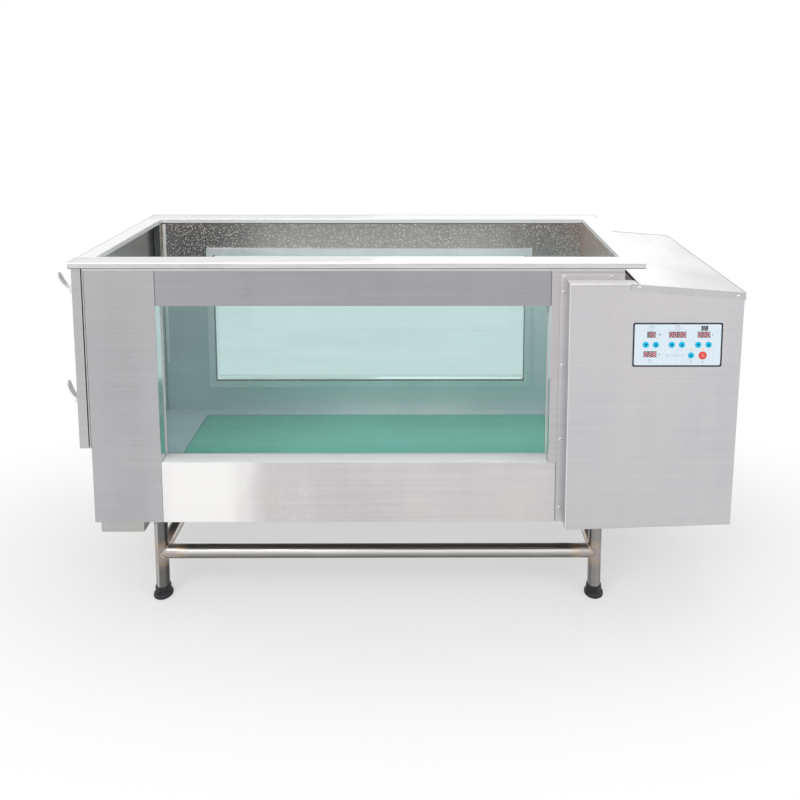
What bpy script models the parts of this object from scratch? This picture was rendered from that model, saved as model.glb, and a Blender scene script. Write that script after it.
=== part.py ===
"""Dog underwater treadmill, in metres with +Z up.

A stainless steel tank stands on four tube legs. Long windows fill its front and rear walls,
a side-hung door with two lever latches closes its left end, and a walking belt runs on its
floor between two rollers. A drive cover and a control housing stand at its right end.

Tank coordinates have x = 0 and y = 0 at the middle of the tank and z = 0 under the feet.
The front faces -Y. One empty carries everything and moves the middle of the whole object's
footprint to the world origin.
"""
import math

import bmesh
import bpy
from mathutils import Matrix, Vector

# Fits and sheet
CLEARANCE = 0.0003
SHEET = 0.002
CUTTER_REACH = 0.010
SIDES = 24
ARC_STEPS = 6

# Tank walls
TANK_LENGTH = 1.5127
TANK_WIDTH = 0.600
STAND_HEIGHT = 0.241
WALL_HEIGHT = 0.757
WALL_THICKNESS = 0.046
END_WALL_THICKNESS = 0.003
FLOOR_THICKNESS = 0.003
PANEL_EDGE = 0.0015

# Windows
WINDOW_HEIGHT = 0.463
WINDOW_SILL = 0.1813
LEFT_COLUMN_WIDTH = 0.1973
RIGHT_COLUMN_WIDTH = 0.2054
LOWER_PANEL_LAP = 0.022
GLASS_THICKNESS = 0.010
GLASS_LAP = 0.015

# Rim
RIM_HEIGHT = 0.017
RIM_OVERHANG = 0.020
RIM_RIGHT_OVERHANG = 0.0537
RIM_EDGE = 0.0025

# Door jamb and door
JAMB_FLANGE = 0.004
JAMB_REVEAL = 0.0163
DOOR_RISE = 0.2245
DOORWAY_SIDE = 0.065
DOORWAY_SILL = 0.018
DOOR_THICKNESS = 0.027
DOOR_EDGE = 0.002
DOOR_CAP_SWING_GAP = 0.0012
GASKET_GAP = 0.003
GASKET_MARGIN = 0.012
GASKET_LIP = 0.005

# Door hinge
HINGE_OFFSET = 0.0075
KNUCKLE_RADIUS = 0.0065
KNUCKLE_COUNT = 7
KNUCKLE_GAP = 0.0004
HINGE_PIN_RADIUS = 0.003
HINGE_LEAF_THICKNESS = 0.002
HINGE_LEAF_WIDTH = 0.040
HINGE_LEAF_START = 0.008
HINGE_END_MARGIN = 0.008
HINGE_SIDES = 12

# Door latches
LATCH_DROPS = {"upper": 0.074, "lower": 0.398}
LATCH_TIP_REACH = {"upper": 0.040, "lower": 0.028}
LATCH_TIP_RISE = {"upper": 0.050, "lower": 0.056}
LATCH_INSET = 0.034
LATCH_STANDOFF = 0.009
LATCH_PIN_RADIUS = 0.003
LATCH_HUB_RADIUS = 0.006
LATCH_BRACKET_WIDTH = 0.026
LATCH_EAR = 0.003
LATCH_BRACKET_BASE = 0.0022
LATCH_BRACKET_ABOVE = 0.012
LATCH_BRACKET_BELOW = 0.020
LEVER_THICKNESS = 0.0055
LEVER_ROOT_WIDTH = 0.018
LEVER_TIP_WIDTH = 0.022
LEVER_STEPS = 10

# Stand
LEG_RADIUS = 0.019
LEG_LEFT_INSET = 0.180
LEG_RIGHT_INSET = 0.059
LEG_EDGE_INSET = 0.025
STRETCHER_RADIUS = 0.019
STRETCHER_HEIGHT = 0.135
FOOT_HEIGHT = 0.032
FOOT_RADIUS = 0.0275
FOOT_NECK_RADIUS = 0.0215
FOOT_SIDES = 20

# Drain trough under the left end
TROUGH_INSET = 0.0153
TROUGH_WIDTH = 0.124
TROUGH_SIDE_INSET = 0.005
TROUGH_DROP = 0.0325
DRAIN_HOLE_RADIUS = 0.030
DRAIN_PIPE_RADIUS = 0.020
DRAIN_PIPE_WALL = 0.003
DRAIN_PIPE_LENGTH = 0.035
DRAIN_PIPE_INSET = 0.100

# Walking belt, rollers and deck
BELT_THICKNESS = 0.0025
ROLLER_RADIUS = 0.023
ROLLER_CROWN = 0.0005
ROLLER_END_GAP = 0.001
IDLER_INSET = 0.17635
DRIVE_INSET = 0.09635
IDLER_SHAFT_RADIUS = 0.008
DRIVE_SHAFT_RADIUS = 0.010
SHAFT_END_INSET = 0.004
TENSION_SLOT = 0.024
RAIL_RISE = 0.068
RAIL_WIDTH = 0.0372
RAIL_GAP = 0.002
BELT_DROP = 0.002
DECK_THICKNESS = 0.012
DECK_ROLLER_GAP = 0.006
BELT_COVER_LAP = 0.005

# Drive cover and control housing
COVER_DEPTH = 0.0425
COVER_SHAFT_MARGIN = 0.065
COVER_FLANGE = 0.019
COVER_DROP = 0.0365
COVER_RISE = 0.0037
HOUSING_REACH = 0.320
HOUSING_LEAN = 0.012
HOUSING_TOP_FALL = 0.025
HOUSING_BOTTOM_RISE = 0.0155
HOUSING_REAR_LAP = 0.018
LID_LIP = 0.019
LID_CORNER = 0.006
LID_LIP_START = 0.006
LID_NOTCH = 0.023
GLAND_RADIUS = 0.010
GLAND_NUT_RADIUS = 0.014
GLAND_LENGTH = 0.024
GLAND_NUT_LENGTH = 0.008
GLAND_OFFSET = 0.20335
GLAND_REAR_INSET = 0.078

# Drive
TOOTH_PITCH = 0.008
TOOTH_DEPTH = 0.0026
DRIVEN_TEETH = 16
MOTOR_TEETH = 20
PULLEY_WIDTH = 0.020
PULLEY_COVER_GAP = 0.008
DRIVE_BELT_THICKNESS = 0.0028
MOTOR_OFFSET = 0.07835
MOTOR_RISE = 0.1328
GEARBOX_HEIGHT = 0.150
GEARBOX_DEPTH = 0.140
GEARBOX_SETBACK = 0.038
MOTOR_RADIUS = 0.062
MOTOR_LENGTH = 0.200
MOTOR_SHAFT_RADIUS = 0.011

# Control panel: places are measured from its centre, to the right and up
PANEL_OFFSET = 0.13835
PANEL_DROP = 0.171
PANEL_WIDTH = 0.2486
PANEL_HEIGHT = 0.1264
PANEL_THICKNESS = 0.002
PANEL_CORNER = 0.005
PANEL_APERTURE_MARGIN = 0.009
DISPLAY_HEIGHT = 0.0166
DISPLAY_RECESS = 0.0004
DISPLAYS = ((-0.0733, 0.029, 0.0226), (-0.0009, 0.029, 0.047),
            (0.072, 0.029, 0.0343), (-0.0757, -0.027, 0.0354))
BOARD_THICKNESS = 0.0016
BOARD_SETBACK = 0.009
BOARD_POST = 0.006
KEY_RADIUS = 0.0085
STOP_KEY_RADIUS = 0.0113
KEY_PROUD = 0.0012
KEY_TRAVEL = 0.0008
KEY_FLANGE = 0.0012
KEY_STEM_RADIUS = 0.003
KEY_SIDES = 20
KEYS = {"key_time_down": (-0.0879, 0.0), "key_time_up": (-0.0600, 0.0),
        "key_speed_down": (-0.0159, 0.0), "key_speed_up": (0.0120, 0.0),
        "key_heat_down": (0.0571, 0.0), "key_heat_up": (0.0859, 0.0),
        "key_start": (0.0383, -0.0305), "key_stop": (0.0706, -0.0305)}

# Finishes: colour, roughness, metallic, alpha
FINISHES = {
    "brushed steel": ((0.62, 0.61, 0.62), 0.34, 1.0, 1.0),
    "polished steel": ((0.78, 0.78, 0.77), 0.14, 1.0, 1.0),
    "glass": ((0.62, 0.80, 0.78), 0.05, 0.0, 0.35),
    "black rubber": ((0.02, 0.022, 0.025), 0.75, 0.0, 1.0),
    "grey rubber": ((0.12, 0.12, 0.12), 0.8, 0.0, 1.0),
    "green belt": ((0.06, 0.38, 0.27), 0.7, 0.0, 1.0),
    "deck board": ((0.16, 0.16, 0.17), 0.6, 0.0, 1.0),
    "motor enamel": ((0.10, 0.16, 0.22), 0.45, 0.3, 1.0),
    "cast aluminium": ((0.55, 0.56, 0.57), 0.5, 1.0, 1.0),
    "panel film": ((0.72, 0.83, 0.91), 0.4, 0.0, 1.0),
    "display black": ((0.03, 0.012, 0.012), 0.2, 0.0, 1.0),
    "blue key": ((0.01, 0.38, 0.66), 0.35, 0.0, 1.0),
    "red key": ((0.80, 0.05, 0.04), 0.35, 0.0, 1.0),
}

# Levels and faces that several pieces share
WALL_BOTTOM = STAND_HEIGHT
WALL_TOP = STAND_HEIGHT + WALL_HEIGHT
RIM_TOP = WALL_TOP + RIM_HEIGHT
TANK_LEFT = -TANK_LENGTH / 2
TANK_RIGHT = TANK_LENGTH / 2
OUTER_Y = TANK_WIDTH / 2
INNER_Y = OUTER_Y - WALL_THICKNESS
RIM_Y = OUTER_Y + RIM_OVERHANG
RIM_RIGHT = TANK_RIGHT + RIM_RIGHT_OVERHANG
WINDOW_LEFT = TANK_LEFT + LEFT_COLUMN_WIDTH
WINDOW_RIGHT = TANK_RIGHT - RIGHT_COLUMN_WIDTH
WINDOW_BOTTOM = WALL_BOTTOM + WINDOW_SILL
WINDOW_TOP = WINDOW_BOTTOM + WINDOW_HEIGHT
DOOR_BOTTOM = WALL_BOTTOM + DOOR_RISE
DOORWAY_Y = OUTER_Y - DOORWAY_SIDE
JAMB_LEFT = TANK_LEFT - JAMB_FLANGE
JAMB_RIGHT = TANK_LEFT + JAMB_REVEAL
DOOR_INNER = JAMB_LEFT - GASKET_GAP
DOOR_FACE = DOOR_INNER - DOOR_THICKNESS
HINGE_X = DOOR_FACE - HINGE_OFFSET
HINGE_Y = OUTER_Y + HINGE_OFFSET
FLOOR_TOP = WALL_BOTTOM + FLOOR_THICKNESS
END_WALL_INNER = TANK_RIGHT - END_WALL_THICKNESS
IDLER_X = TANK_LEFT + IDLER_INSET
DRIVE_X = TANK_RIGHT - DRIVE_INSET
RAIL_TOP = WALL_BOTTOM + RAIL_RISE
BELT_TOP = RAIL_TOP - BELT_DROP
AXIS_Z = BELT_TOP - BELT_THICKNESS - CLEARANCE - ROLLER_RADIUS
RAIL_INNER_Y = INNER_Y - CLEARANCE - RAIL_WIDTH
BELT_Y = RAIL_INNER_Y - RAIL_GAP
COVER_LEFT = DRIVE_X - COVER_SHAFT_MARGIN
COVER_TOP = WALL_TOP - COVER_DROP
COVER_BOTTOM = WALL_BOTTOM + COVER_RISE
COVER_FRONT = -OUTER_Y - CLEARANCE - COVER_DEPTH
HOUSING_LEFT = TANK_RIGHT + CLEARANCE
HOUSING_RIGHT = TANK_RIGHT + HOUSING_REACH
HOUSING_REAR = OUTER_Y + HOUSING_REAR_LAP
MOTOR_X = HOUSING_LEFT + MOTOR_OFFSET
MOTOR_Z = AXIS_Z + MOTOR_RISE
PANEL_X = HOUSING_LEFT + PANEL_OFFSET
PANEL_Z = COVER_TOP - PANEL_DROP
PULLEY_FRONT = COVER_FRONT + SHEET + PULLEY_COVER_GAP
PANEL_FRONT = COVER_FRONT - CLEARANCE - PANEL_THICKNESS

PARTS = "dog_underwater_treadmill"
CUTTERS = "cutters"
ROOT = "treadmill_origin"


def start_scene():
    """Empties the scene and makes the two collections."""
    for obj in list(bpy.data.objects):
        bpy.data.objects.remove(obj, do_unlink=True)
    for name in (PARTS, CUTTERS):
        collection = bpy.data.collections.get(name) or bpy.data.collections.new(name)
        if name not in bpy.context.scene.collection.children:
            bpy.context.scene.collection.children.link(collection)


def add_empty(name, place, parent=None):
    """An empty at a place in tank coordinates, carried by another empty."""
    empty = bpy.data.objects.new(name, None)
    bpy.data.collections[PARTS].objects.link(empty)
    empty["tank_place"] = tuple(place)
    hang(empty, parent)
    return empty


def hang(obj, parent):
    """Parents an object and keeps its place in tank coordinates."""
    if obj.type == "EMPTY":
        obj.location = obj["tank_place"]
    if parent is None:
        return
    obj.location = Vector(obj.location) - Vector(parent["tank_place"])
    obj.parent = parent


def finish(obj, look, parent):
    """Puts a piece in the parts collection with its own material and its parent empty."""
    colour, roughness, metallic, alpha = FINISHES[look]
    material = bpy.data.materials.new(obj.name + " " + look)
    material.use_nodes = True
    shader = material.node_tree.nodes["Principled BSDF"]
    shader.inputs["Base Color"].default_value = (*colour, 1.0)
    shader.inputs["Roughness"].default_value = roughness
    shader.inputs["Metallic"].default_value = metallic
    shader.inputs["Alpha"].default_value = alpha
    obj.data.materials.append(material)
    bpy.data.collections[PARTS].objects.link(obj)
    hang(obj, parent)
    return obj


def new_object(name, bm):
    """An object from a bmesh, which is freed."""
    mesh = bpy.data.meshes.new(name)
    bm.to_mesh(mesh)
    bm.free()
    return bpy.data.objects.new(name, mesh)


def block(name, x, y, z, edge=0.0):
    """A box between three spans, its edges rounded by a Bevel where edge is given."""
    bm = bmesh.new()
    size = (x[1] - x[0], y[1] - y[0], z[1] - z[0], 1.0)
    bmesh.ops.create_cube(bm, size=1.0, matrix=Matrix.Diagonal(size))
    obj = new_object(name, bm)
    obj.location = ((x[0] + x[1]) / 2, (y[0] + y[1]) / 2, (z[0] + z[1]) / 2)
    if edge:
        bevel(obj, edge)
    return obj


def bevel(obj, width, segments=2):
    """Rounds the sharp edges of an object."""
    modifier = obj.modifiers.new("rounded edges", "BEVEL")
    modifier.width = width
    modifier.segments = segments
    modifier.limit_method = "ANGLE"


def rod(name, start, end, radius, sides=SIDES):
    """A capped cylinder between two points."""
    start, end = Vector(start), Vector(end)
    bm = bmesh.new()
    bmesh.ops.create_cone(bm, cap_ends=True, segments=sides, radius1=radius, radius2=radius,
                          depth=(end - start).length)
    obj = new_object(name, bm)
    obj.rotation_mode = "QUATERNION"
    obj.rotation_quaternion = (end - start).to_track_quat("Z", "Y")
    obj.location = (start + end) / 2
    smooth(obj)
    return obj


def smooth(obj):
    """Shades a round mesh smooth between its sharp edges."""
    obj.data.shade_smooth()
    obj.data.set_sharp_from_angle(angle=math.radians(40))


def turned(name, profile, place, along_y=False, sides=SIDES):
    """A turned shape: (radius, height) pairs run down its outer side, top to bottom.

    With along_y its axis lies along Y and its top points to the front.
    """
    bm = bmesh.new()
    verts = [bm.verts.new((radius, 0.0, height)) for radius, height in profile]
    for first, second in zip(verts, verts[1:]):
        bm.edges.new((first, second))
    obj = new_object(name, bm)
    screw = obj.modifiers.new("turned", "SCREW")
    screw.axis = "Z"
    screw.steps = sides
    screw.render_steps = sides
    screw.use_merge_vertices = True
    screw.merge_threshold = 0.00001
    obj.location = place
    if along_y:
        obj.rotation_euler = (math.pi / 2, 0.0, 0.0)
    return obj


def outline(name, loops, depth, place, plane="XZ"):
    """A flat outline with holes, thickened by depth about its plane.

    Points are (across, up) pairs from place. The plane XZ faces the front, YZ faces the
    ends and XY lies flat.
    """
    curve = bpy.data.curves.new(name, "CURVE")
    curve.dimensions = "2D"
    curve.fill_mode = "BOTH"
    curve.extrude = depth / 2
    for points in loops:
        spline = curve.splines.new("POLY")
        spline.points.add(len(points) - 1)
        for point, (across, up) in zip(spline.points, points):
            point.co = (across, up, 0.0, 1.0)
        spline.use_cyclic_u = True
    obj = bpy.data.objects.new(name, curve)
    obj.location = place
    if plane == "XZ":
        obj.rotation_euler = (math.pi / 2, 0.0, 0.0)
    elif plane == "YZ":
        obj.rotation_euler = (math.pi / 2, 0.0, math.pi / 2)
    return obj


def as_mesh(obj):
    """A curve object made a mesh object with welded caps, so that it can be cut."""
    bpy.context.scene.collection.objects.link(obj)
    bpy.context.view_layer.update()
    evaluated = obj.evaluated_get(bpy.context.evaluated_depsgraph_get())
    mesh = bpy.data.meshes.new_from_object(evaluated)
    name, matrix = obj.name, obj.matrix_world.copy()
    bpy.data.objects.remove(obj, do_unlink=True)
    bm = bmesh.new()
    bm.from_mesh(mesh)
    bmesh.ops.remove_doubles(bm, verts=bm.verts, dist=0.00001)
    bm.to_mesh(mesh)
    bm.free()
    solid = bpy.data.objects.new(name, mesh)
    solid.matrix_world = matrix
    return solid


def plate(name, loops, spans, plane="XZ"):
    """An outline given in tank coordinates and thickened between two levels, as a mesh."""
    low, high = spans
    middle = (low + high) / 2
    place = {"XZ": (0.0, middle, 0.0), "YZ": (middle, 0.0, 0.0), "XY": (0.0, 0.0, middle)}
    return as_mesh(outline(name, loops, high - low, place[plane], plane))


def use_tool(obj, tool, operation):
    """Adds a Boolean and keeps its tool hidden among the cutters, carried by the root."""
    if tool.name not in bpy.data.collections[CUTTERS].objects:
        bpy.data.collections[CUTTERS].objects.link(tool)
        tool.parent = bpy.data.objects[ROOT]
    tool.hide_render = True
    tool.display_type = "WIRE"
    modifier = obj.modifiers.new(tool.name, "BOOLEAN")
    modifier.object = tool
    modifier.operation = operation
    modifier.solver = "EXACT"
    return obj


def carve(obj, tool):
    """Cuts the tool's shape out of an object."""
    return use_tool(obj, tool, "DIFFERENCE")


def fuse(obj, tool):
    """Joins the tool's shape to an object."""
    return use_tool(obj, tool, "UNION")


def arc(centre, radius, start, end, steps=ARC_STEPS):
    """Points along an arc, with its angles in degrees."""
    angles = [math.radians(start + (end - start) * step / steps) for step in range(steps + 1)]
    return [(centre[0] + radius * math.cos(a), centre[1] + radius * math.sin(a)) for a in angles]


def circle(centre, radius, sides=SIDES):
    """Points round a circle."""
    return arc(centre, radius, 0.0, 360.0 * (sides - 1) / sides, sides - 1)


def rectangle(centre, width, height):
    """The corners of a rectangle."""
    x, z = centre
    return [(x - width / 2, z - height / 2), (x + width / 2, z - height / 2),
            (x + width / 2, z + height / 2), (x - width / 2, z + height / 2)]


def rounded_rectangle(centre, width, height, radius):
    """A rectangle whose corners are arcs."""
    points = []
    for turn, (right, up) in enumerate(((1, 1), (-1, 1), (-1, -1), (1, -1))):
        corner = (centre[0] + right * (width / 2 - radius), centre[1] + up * (height / 2 - radius))
        points += arc(corner, radius, 90.0 * turn, 90.0 * (turn + 1))
    return points


def inset(points, distance):
    """A convex outline moved inwards by a distance; its points run counterclockwise."""
    moved = []
    count = len(points)
    for index in range(count):
        corner = Vector(points[index])
        before = (corner - Vector(points[index - 1])).normalized()
        after = (Vector(points[(index + 1) % count]) - corner).normalized()
        inward = Vector((-before.y - after.y, before.x + after.x)).normalized()
        reach = distance / inward.dot(Vector((-after.y, after.x)))
        moved.append(tuple(corner + inward * reach))
    return moved


def build_stand(root):
    """Four legs on rubber feet, joined by four stretchers with coped ends."""
    places = {}
    leg_cutters = {}
    leg_y = OUTER_Y - LEG_EDGE_INSET
    for side, x in (("left", TANK_LEFT + LEG_LEFT_INSET), ("right", TANK_RIGHT - LEG_RIGHT_INSET)):
        for end, y in (("front", -leg_y), ("rear", leg_y)):
            key = end + "_" + side
            places[key] = (x, y)
            leg = rod("leg_" + key, (x, y, FOOT_HEIGHT + CLEARANCE),
                      (x, y, WALL_BOTTOM - CLEARANCE), LEG_RADIUS)
            finish(leg, "polished steel", root)
            leg_cutters[key] = rod("cutter_leg_" + key, (x, y, FOOT_HEIGHT), (x, y, WALL_BOTTOM),
                                   LEG_RADIUS + CLEARANCE)
            finish(foot("foot_" + key, (x, y, 0.0)), "black rubber", root)
    long_cutters = []
    for end in ("front", "rear"):
        long_cutters.append(add_stretcher("stretcher_" + end, (end + "_left", end + "_right"),
                                          places, leg_cutters, [], root))
    for side in ("left", "right"):
        add_stretcher("stretcher_" + side, ("front_" + side, "rear_" + side),
                      places, leg_cutters, long_cutters, root)


def foot(name, place):
    """A moulded rubber foot, flared towards the floor."""
    flare = FOOT_RADIUS - FOOT_NECK_RADIUS
    profile = [(0.0, FOOT_HEIGHT), (FOOT_NECK_RADIUS - 0.002, FOOT_HEIGHT),
               (FOOT_NECK_RADIUS, FOOT_HEIGHT - 0.002), (FOOT_NECK_RADIUS, FOOT_HEIGHT * 0.55),
               (FOOT_NECK_RADIUS + flare * 0.4, FOOT_HEIGHT * 0.36),
               (FOOT_RADIUS, FOOT_HEIGHT * 0.2), (FOOT_RADIUS, 0.002),
               (FOOT_RADIUS - 0.002, 0.0), (0.0, 0.0)]
    return turned(name, profile, place, sides=FOOT_SIDES)


def add_stretcher(name, ends, places, leg_cutters, crossing, root):
    """A tube between two legs, coped to them and to the tubes that it meets at the corners."""
    start = (*places[ends[0]], STRETCHER_HEIGHT)
    end = (*places[ends[1]], STRETCHER_HEIGHT)
    tube = rod(name, start, end, STRETCHER_RADIUS)
    for key in ends:
        carve(tube, leg_cutters[key])
    for cutter in crossing:
        carve(tube, cutter)
    finish(tube, "polished steel", root)
    return rod("cutter_" + name, start, end, STRETCHER_RADIUS + CLEARANCE)


def build_walls(root):
    """The boxed front panels, the rear wall, the end wall, the jamb, the floor and the drain."""
    front = (-OUTER_Y, -INNER_Y)
    full_height = (WALL_BOTTOM, WALL_TOP - CLEARANCE)
    finish(block("front_left_column", (TANK_LEFT, WINDOW_LEFT - CLEARANCE), front, full_height,
                 PANEL_EDGE), "brushed steel", root)
    finish(block("front_header", (WINDOW_LEFT, WINDOW_RIGHT), front,
                 (WINDOW_TOP, WALL_TOP - CLEARANCE), PANEL_EDGE), "brushed steel", root)
    lap_end = WINDOW_RIGHT + LOWER_PANEL_LAP
    finish(block("front_lower_panel", (WINDOW_LEFT, lap_end), front,
                 (WALL_BOTTOM, WINDOW_BOTTOM), PANEL_EDGE), "brushed steel", root)
    finish(right_column(front, full_height, lap_end), "brushed steel", root)

    rear = block("rear_wall", (TANK_LEFT, TANK_RIGHT), (INNER_Y, OUTER_Y), full_height)
    carve(rear, block("cutter_rear_window", (WINDOW_LEFT, WINDOW_RIGHT),
                      (INNER_Y - CUTTER_REACH, OUTER_Y + CUTTER_REACH),
                      (WINDOW_BOTTOM, WINDOW_TOP)))
    bevel(rear, PANEL_EDGE, 1)
    finish(rear, "brushed steel", root)

    lining = (-INNER_Y + CLEARANCE, INNER_Y - CLEARANCE)
    finish(block("right_end_wall", (END_WALL_INNER, TANK_RIGHT), lining, full_height),
           "brushed steel", root)
    finish(door_jamb(full_height), "brushed steel", root)

    trough = (TANK_LEFT + TROUGH_INSET, TANK_LEFT + TROUGH_INSET + TROUGH_WIDTH)
    drain_x = sum(trough) / 2
    floor = block("tank_floor", (JAMB_RIGHT + CLEARANCE, END_WALL_INNER - CLEARANCE), lining,
                  (WALL_BOTTOM, FLOOR_TOP))
    carve(floor, rod("cutter_drain_hole", (drain_x, 0.0, WALL_BOTTOM - CUTTER_REACH),
                     (drain_x, 0.0, FLOOR_TOP + CUTTER_REACH), DRAIN_HOLE_RADIUS))
    finish(floor, "brushed steel", root)
    finish(drain_trough(trough, drain_x), "brushed steel", root)


def right_column(front, full_height, lap_end):
    """The column right of the window, notched over the lower panel and bored for the shaft."""
    column = block("front_right_column", (WINDOW_RIGHT + CLEARANCE, TANK_RIGHT), front, full_height,
                   PANEL_EDGE)
    carve(column, block("cutter_column_notch", (WINDOW_RIGHT - CUTTER_REACH, lap_end + CLEARANCE),
                        (-OUTER_Y - CUTTER_REACH, -INNER_Y + CUTTER_REACH),
                        (WALL_BOTTOM - CUTTER_REACH, WINDOW_BOTTOM + CLEARANCE)))
    carve(column, rod("cutter_shaft_hole", (DRIVE_X, -OUTER_Y - CUTTER_REACH, AXIS_Z),
                      (DRIVE_X, -INNER_Y + CUTTER_REACH, AXIS_Z),
                      DRIVE_SHAFT_RADIUS + CLEARANCE))
    return column


def door_jamb(full_height):
    """The left end: a fixed panel below, and a flanged frame round the doorway above it."""
    jamb = block("door_jamb", (JAMB_LEFT, JAMB_RIGHT), (-OUTER_Y, OUTER_Y), full_height)
    past = CUTTER_REACH
    tall = (WALL_BOTTOM - past, WALL_TOP + past)
    inner = INNER_Y - CLEARANCE
    carve(jamb, block("cutter_jamb_front", (TANK_LEFT - CLEARANCE, JAMB_RIGHT + past),
                      (-OUTER_Y - past, -inner), tall))
    carve(jamb, block("cutter_jamb_rear", (TANK_LEFT - CLEARANCE, JAMB_RIGHT + past),
                      (inner, OUTER_Y + past), tall))
    carve(jamb, block("cutter_below_door", (JAMB_LEFT - past, TANK_LEFT),
                      (-OUTER_Y - past, OUTER_Y + past), (WALL_BOTTOM - past, DOOR_BOTTOM)))
    carve(jamb, block("cutter_doorway", (JAMB_LEFT - past, JAMB_RIGHT + past),
                      (-DOORWAY_Y, DOORWAY_Y),
                      (DOOR_BOTTOM + DOORWAY_SILL, WALL_TOP + past)))
    return jamb


def drain_trough(span, drain_x):
    """The open-topped trough under the drain hole, with its outlet pipe."""
    low = WALL_BOTTOM - TROUGH_DROP
    depth = (TROUGH_SIDE_INSET - OUTER_Y, OUTER_Y - TROUGH_SIDE_INSET)
    pipe_y = OUTER_Y - DRAIN_PIPE_INSET
    trough = block("drain_trough", span, depth, (low, WALL_BOTTOM - CLEARANCE), SHEET / 2)
    carve(trough, block("cutter_trough", (span[0] + SHEET, span[1] - SHEET),
                        (depth[0] + SHEET, depth[1] - SHEET), (low + SHEET, WALL_BOTTOM + SHEET)))
    top = (drain_x, pipe_y, low + SHEET / 2)
    end = (drain_x, pipe_y, low - DRAIN_PIPE_LENGTH)
    fuse(trough, rod("union_drain_pipe", end, top, DRAIN_PIPE_RADIUS))
    carve(trough, rod("cutter_drain_bore", (end[0], end[1], end[2] - CUTTER_REACH),
                      (top[0], top[1], low + CUTTER_REACH), DRAIN_PIPE_RADIUS - DRAIN_PIPE_WALL))
    return trough


def build_windows(root):
    """Two panes, pressed from inside against the walls round their openings."""
    span_x = (WINDOW_LEFT - GLASS_LAP, WINDOW_RIGHT + GLASS_LAP)
    span_z = (WINDOW_BOTTOM - GLASS_LAP, WINDOW_TOP + GLASS_LAP)
    near = INNER_Y - CLEARANCE
    far = near - GLASS_THICKNESS
    finish(block("front_window", span_x, (-near, -far), span_z), "glass", root)
    finish(block("rear_window", span_x, (far, near), span_z), "glass", root)


def build_rim(root):
    """The boxed rim on the front, rear and right walls; the door carries the left one."""
    height = (WALL_TOP, RIM_TOP)
    long_span = (DOOR_FACE, RIM_RIGHT)
    finish(block("rim_front", long_span, (-RIM_Y, -INNER_Y), height, RIM_EDGE),
           "polished steel", root)
    finish(block("rim_rear", long_span, (INNER_Y, RIM_Y), height, RIM_EDGE),
           "polished steel", root)
    finish(block("rim_right", (END_WALL_INNER, RIM_RIGHT),
                 (-INNER_Y + CLEARANCE, INNER_Y - CLEARANCE), height, RIM_EDGE),
           "polished steel", root)


def build_door(root):
    """The door with its rim, gasket, hinge and latches. Returns the door's empty."""
    door = add_empty("door_axis", (HINGE_X, HINGE_Y, DOOR_BOTTOM), root)
    panel = block("door_panel", (DOOR_FACE, DOOR_INNER), (-OUTER_Y, OUTER_Y),
                  (DOOR_BOTTOM, WALL_TOP - CLEARANCE), DOOR_EDGE)
    neck_y = INNER_Y - DOOR_THICKNESS / 2
    fuse(panel, block("union_door_neck", (DOOR_FACE + DOOR_EDGE, DOOR_INNER - DOOR_EDGE),
                      (-neck_y, neck_y), (WALL_TOP - RIM_HEIGHT / 2, WALL_TOP + RIM_HEIGHT / 2)))
    fuse(panel, door_cap())
    finish(panel, "brushed steel", door)
    finish(door_gasket(), "grey rubber", door)
    build_hinge(root, door)
    for which in LATCH_DROPS:
        build_latch(which, door)


def door_cap():
    """The rim along the door's top, its front end set back from the arc that it swings on."""
    swing = HINGE_Y + INNER_Y - DOOR_CAP_SWING_GAP
    front_at = [HINGE_Y - math.sqrt(swing ** 2 - (x - HINGE_X) ** 2)
                for x in (DOOR_FACE, JAMB_RIGHT)]
    rear = INNER_Y - 2 * CLEARANCE
    points = [(DOOR_FACE, front_at[0]), (JAMB_RIGHT, front_at[1]), (JAMB_RIGHT, rear),
              (DOOR_FACE, rear)]
    cap = plate("union_door_cap", [points], (WALL_TOP, RIM_TOP), "XY")
    bevel(cap, RIM_EDGE)
    return cap


def door_gasket():
    """A U-shaped rubber seal between the door and the jamb's flange."""
    outer_y = OUTER_Y - GASKET_MARGIN
    inner_y = DOORWAY_Y + GASKET_LIP
    top = WALL_TOP - CLEARANCE
    bottom = DOOR_BOTTOM + GASKET_LIP
    sill = DOOR_BOTTOM + DOORWAY_SILL - GASKET_LIP
    points = [(-outer_y, bottom), (outer_y, bottom), (outer_y, top), (inner_y, top),
              (inner_y, sill), (-inner_y, sill), (-inner_y, top), (-outer_y, top)]
    return plate("door_gasket", [points], (DOOR_INNER + CLEARANCE, JAMB_LEFT - CLEARANCE), "YZ")


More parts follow.
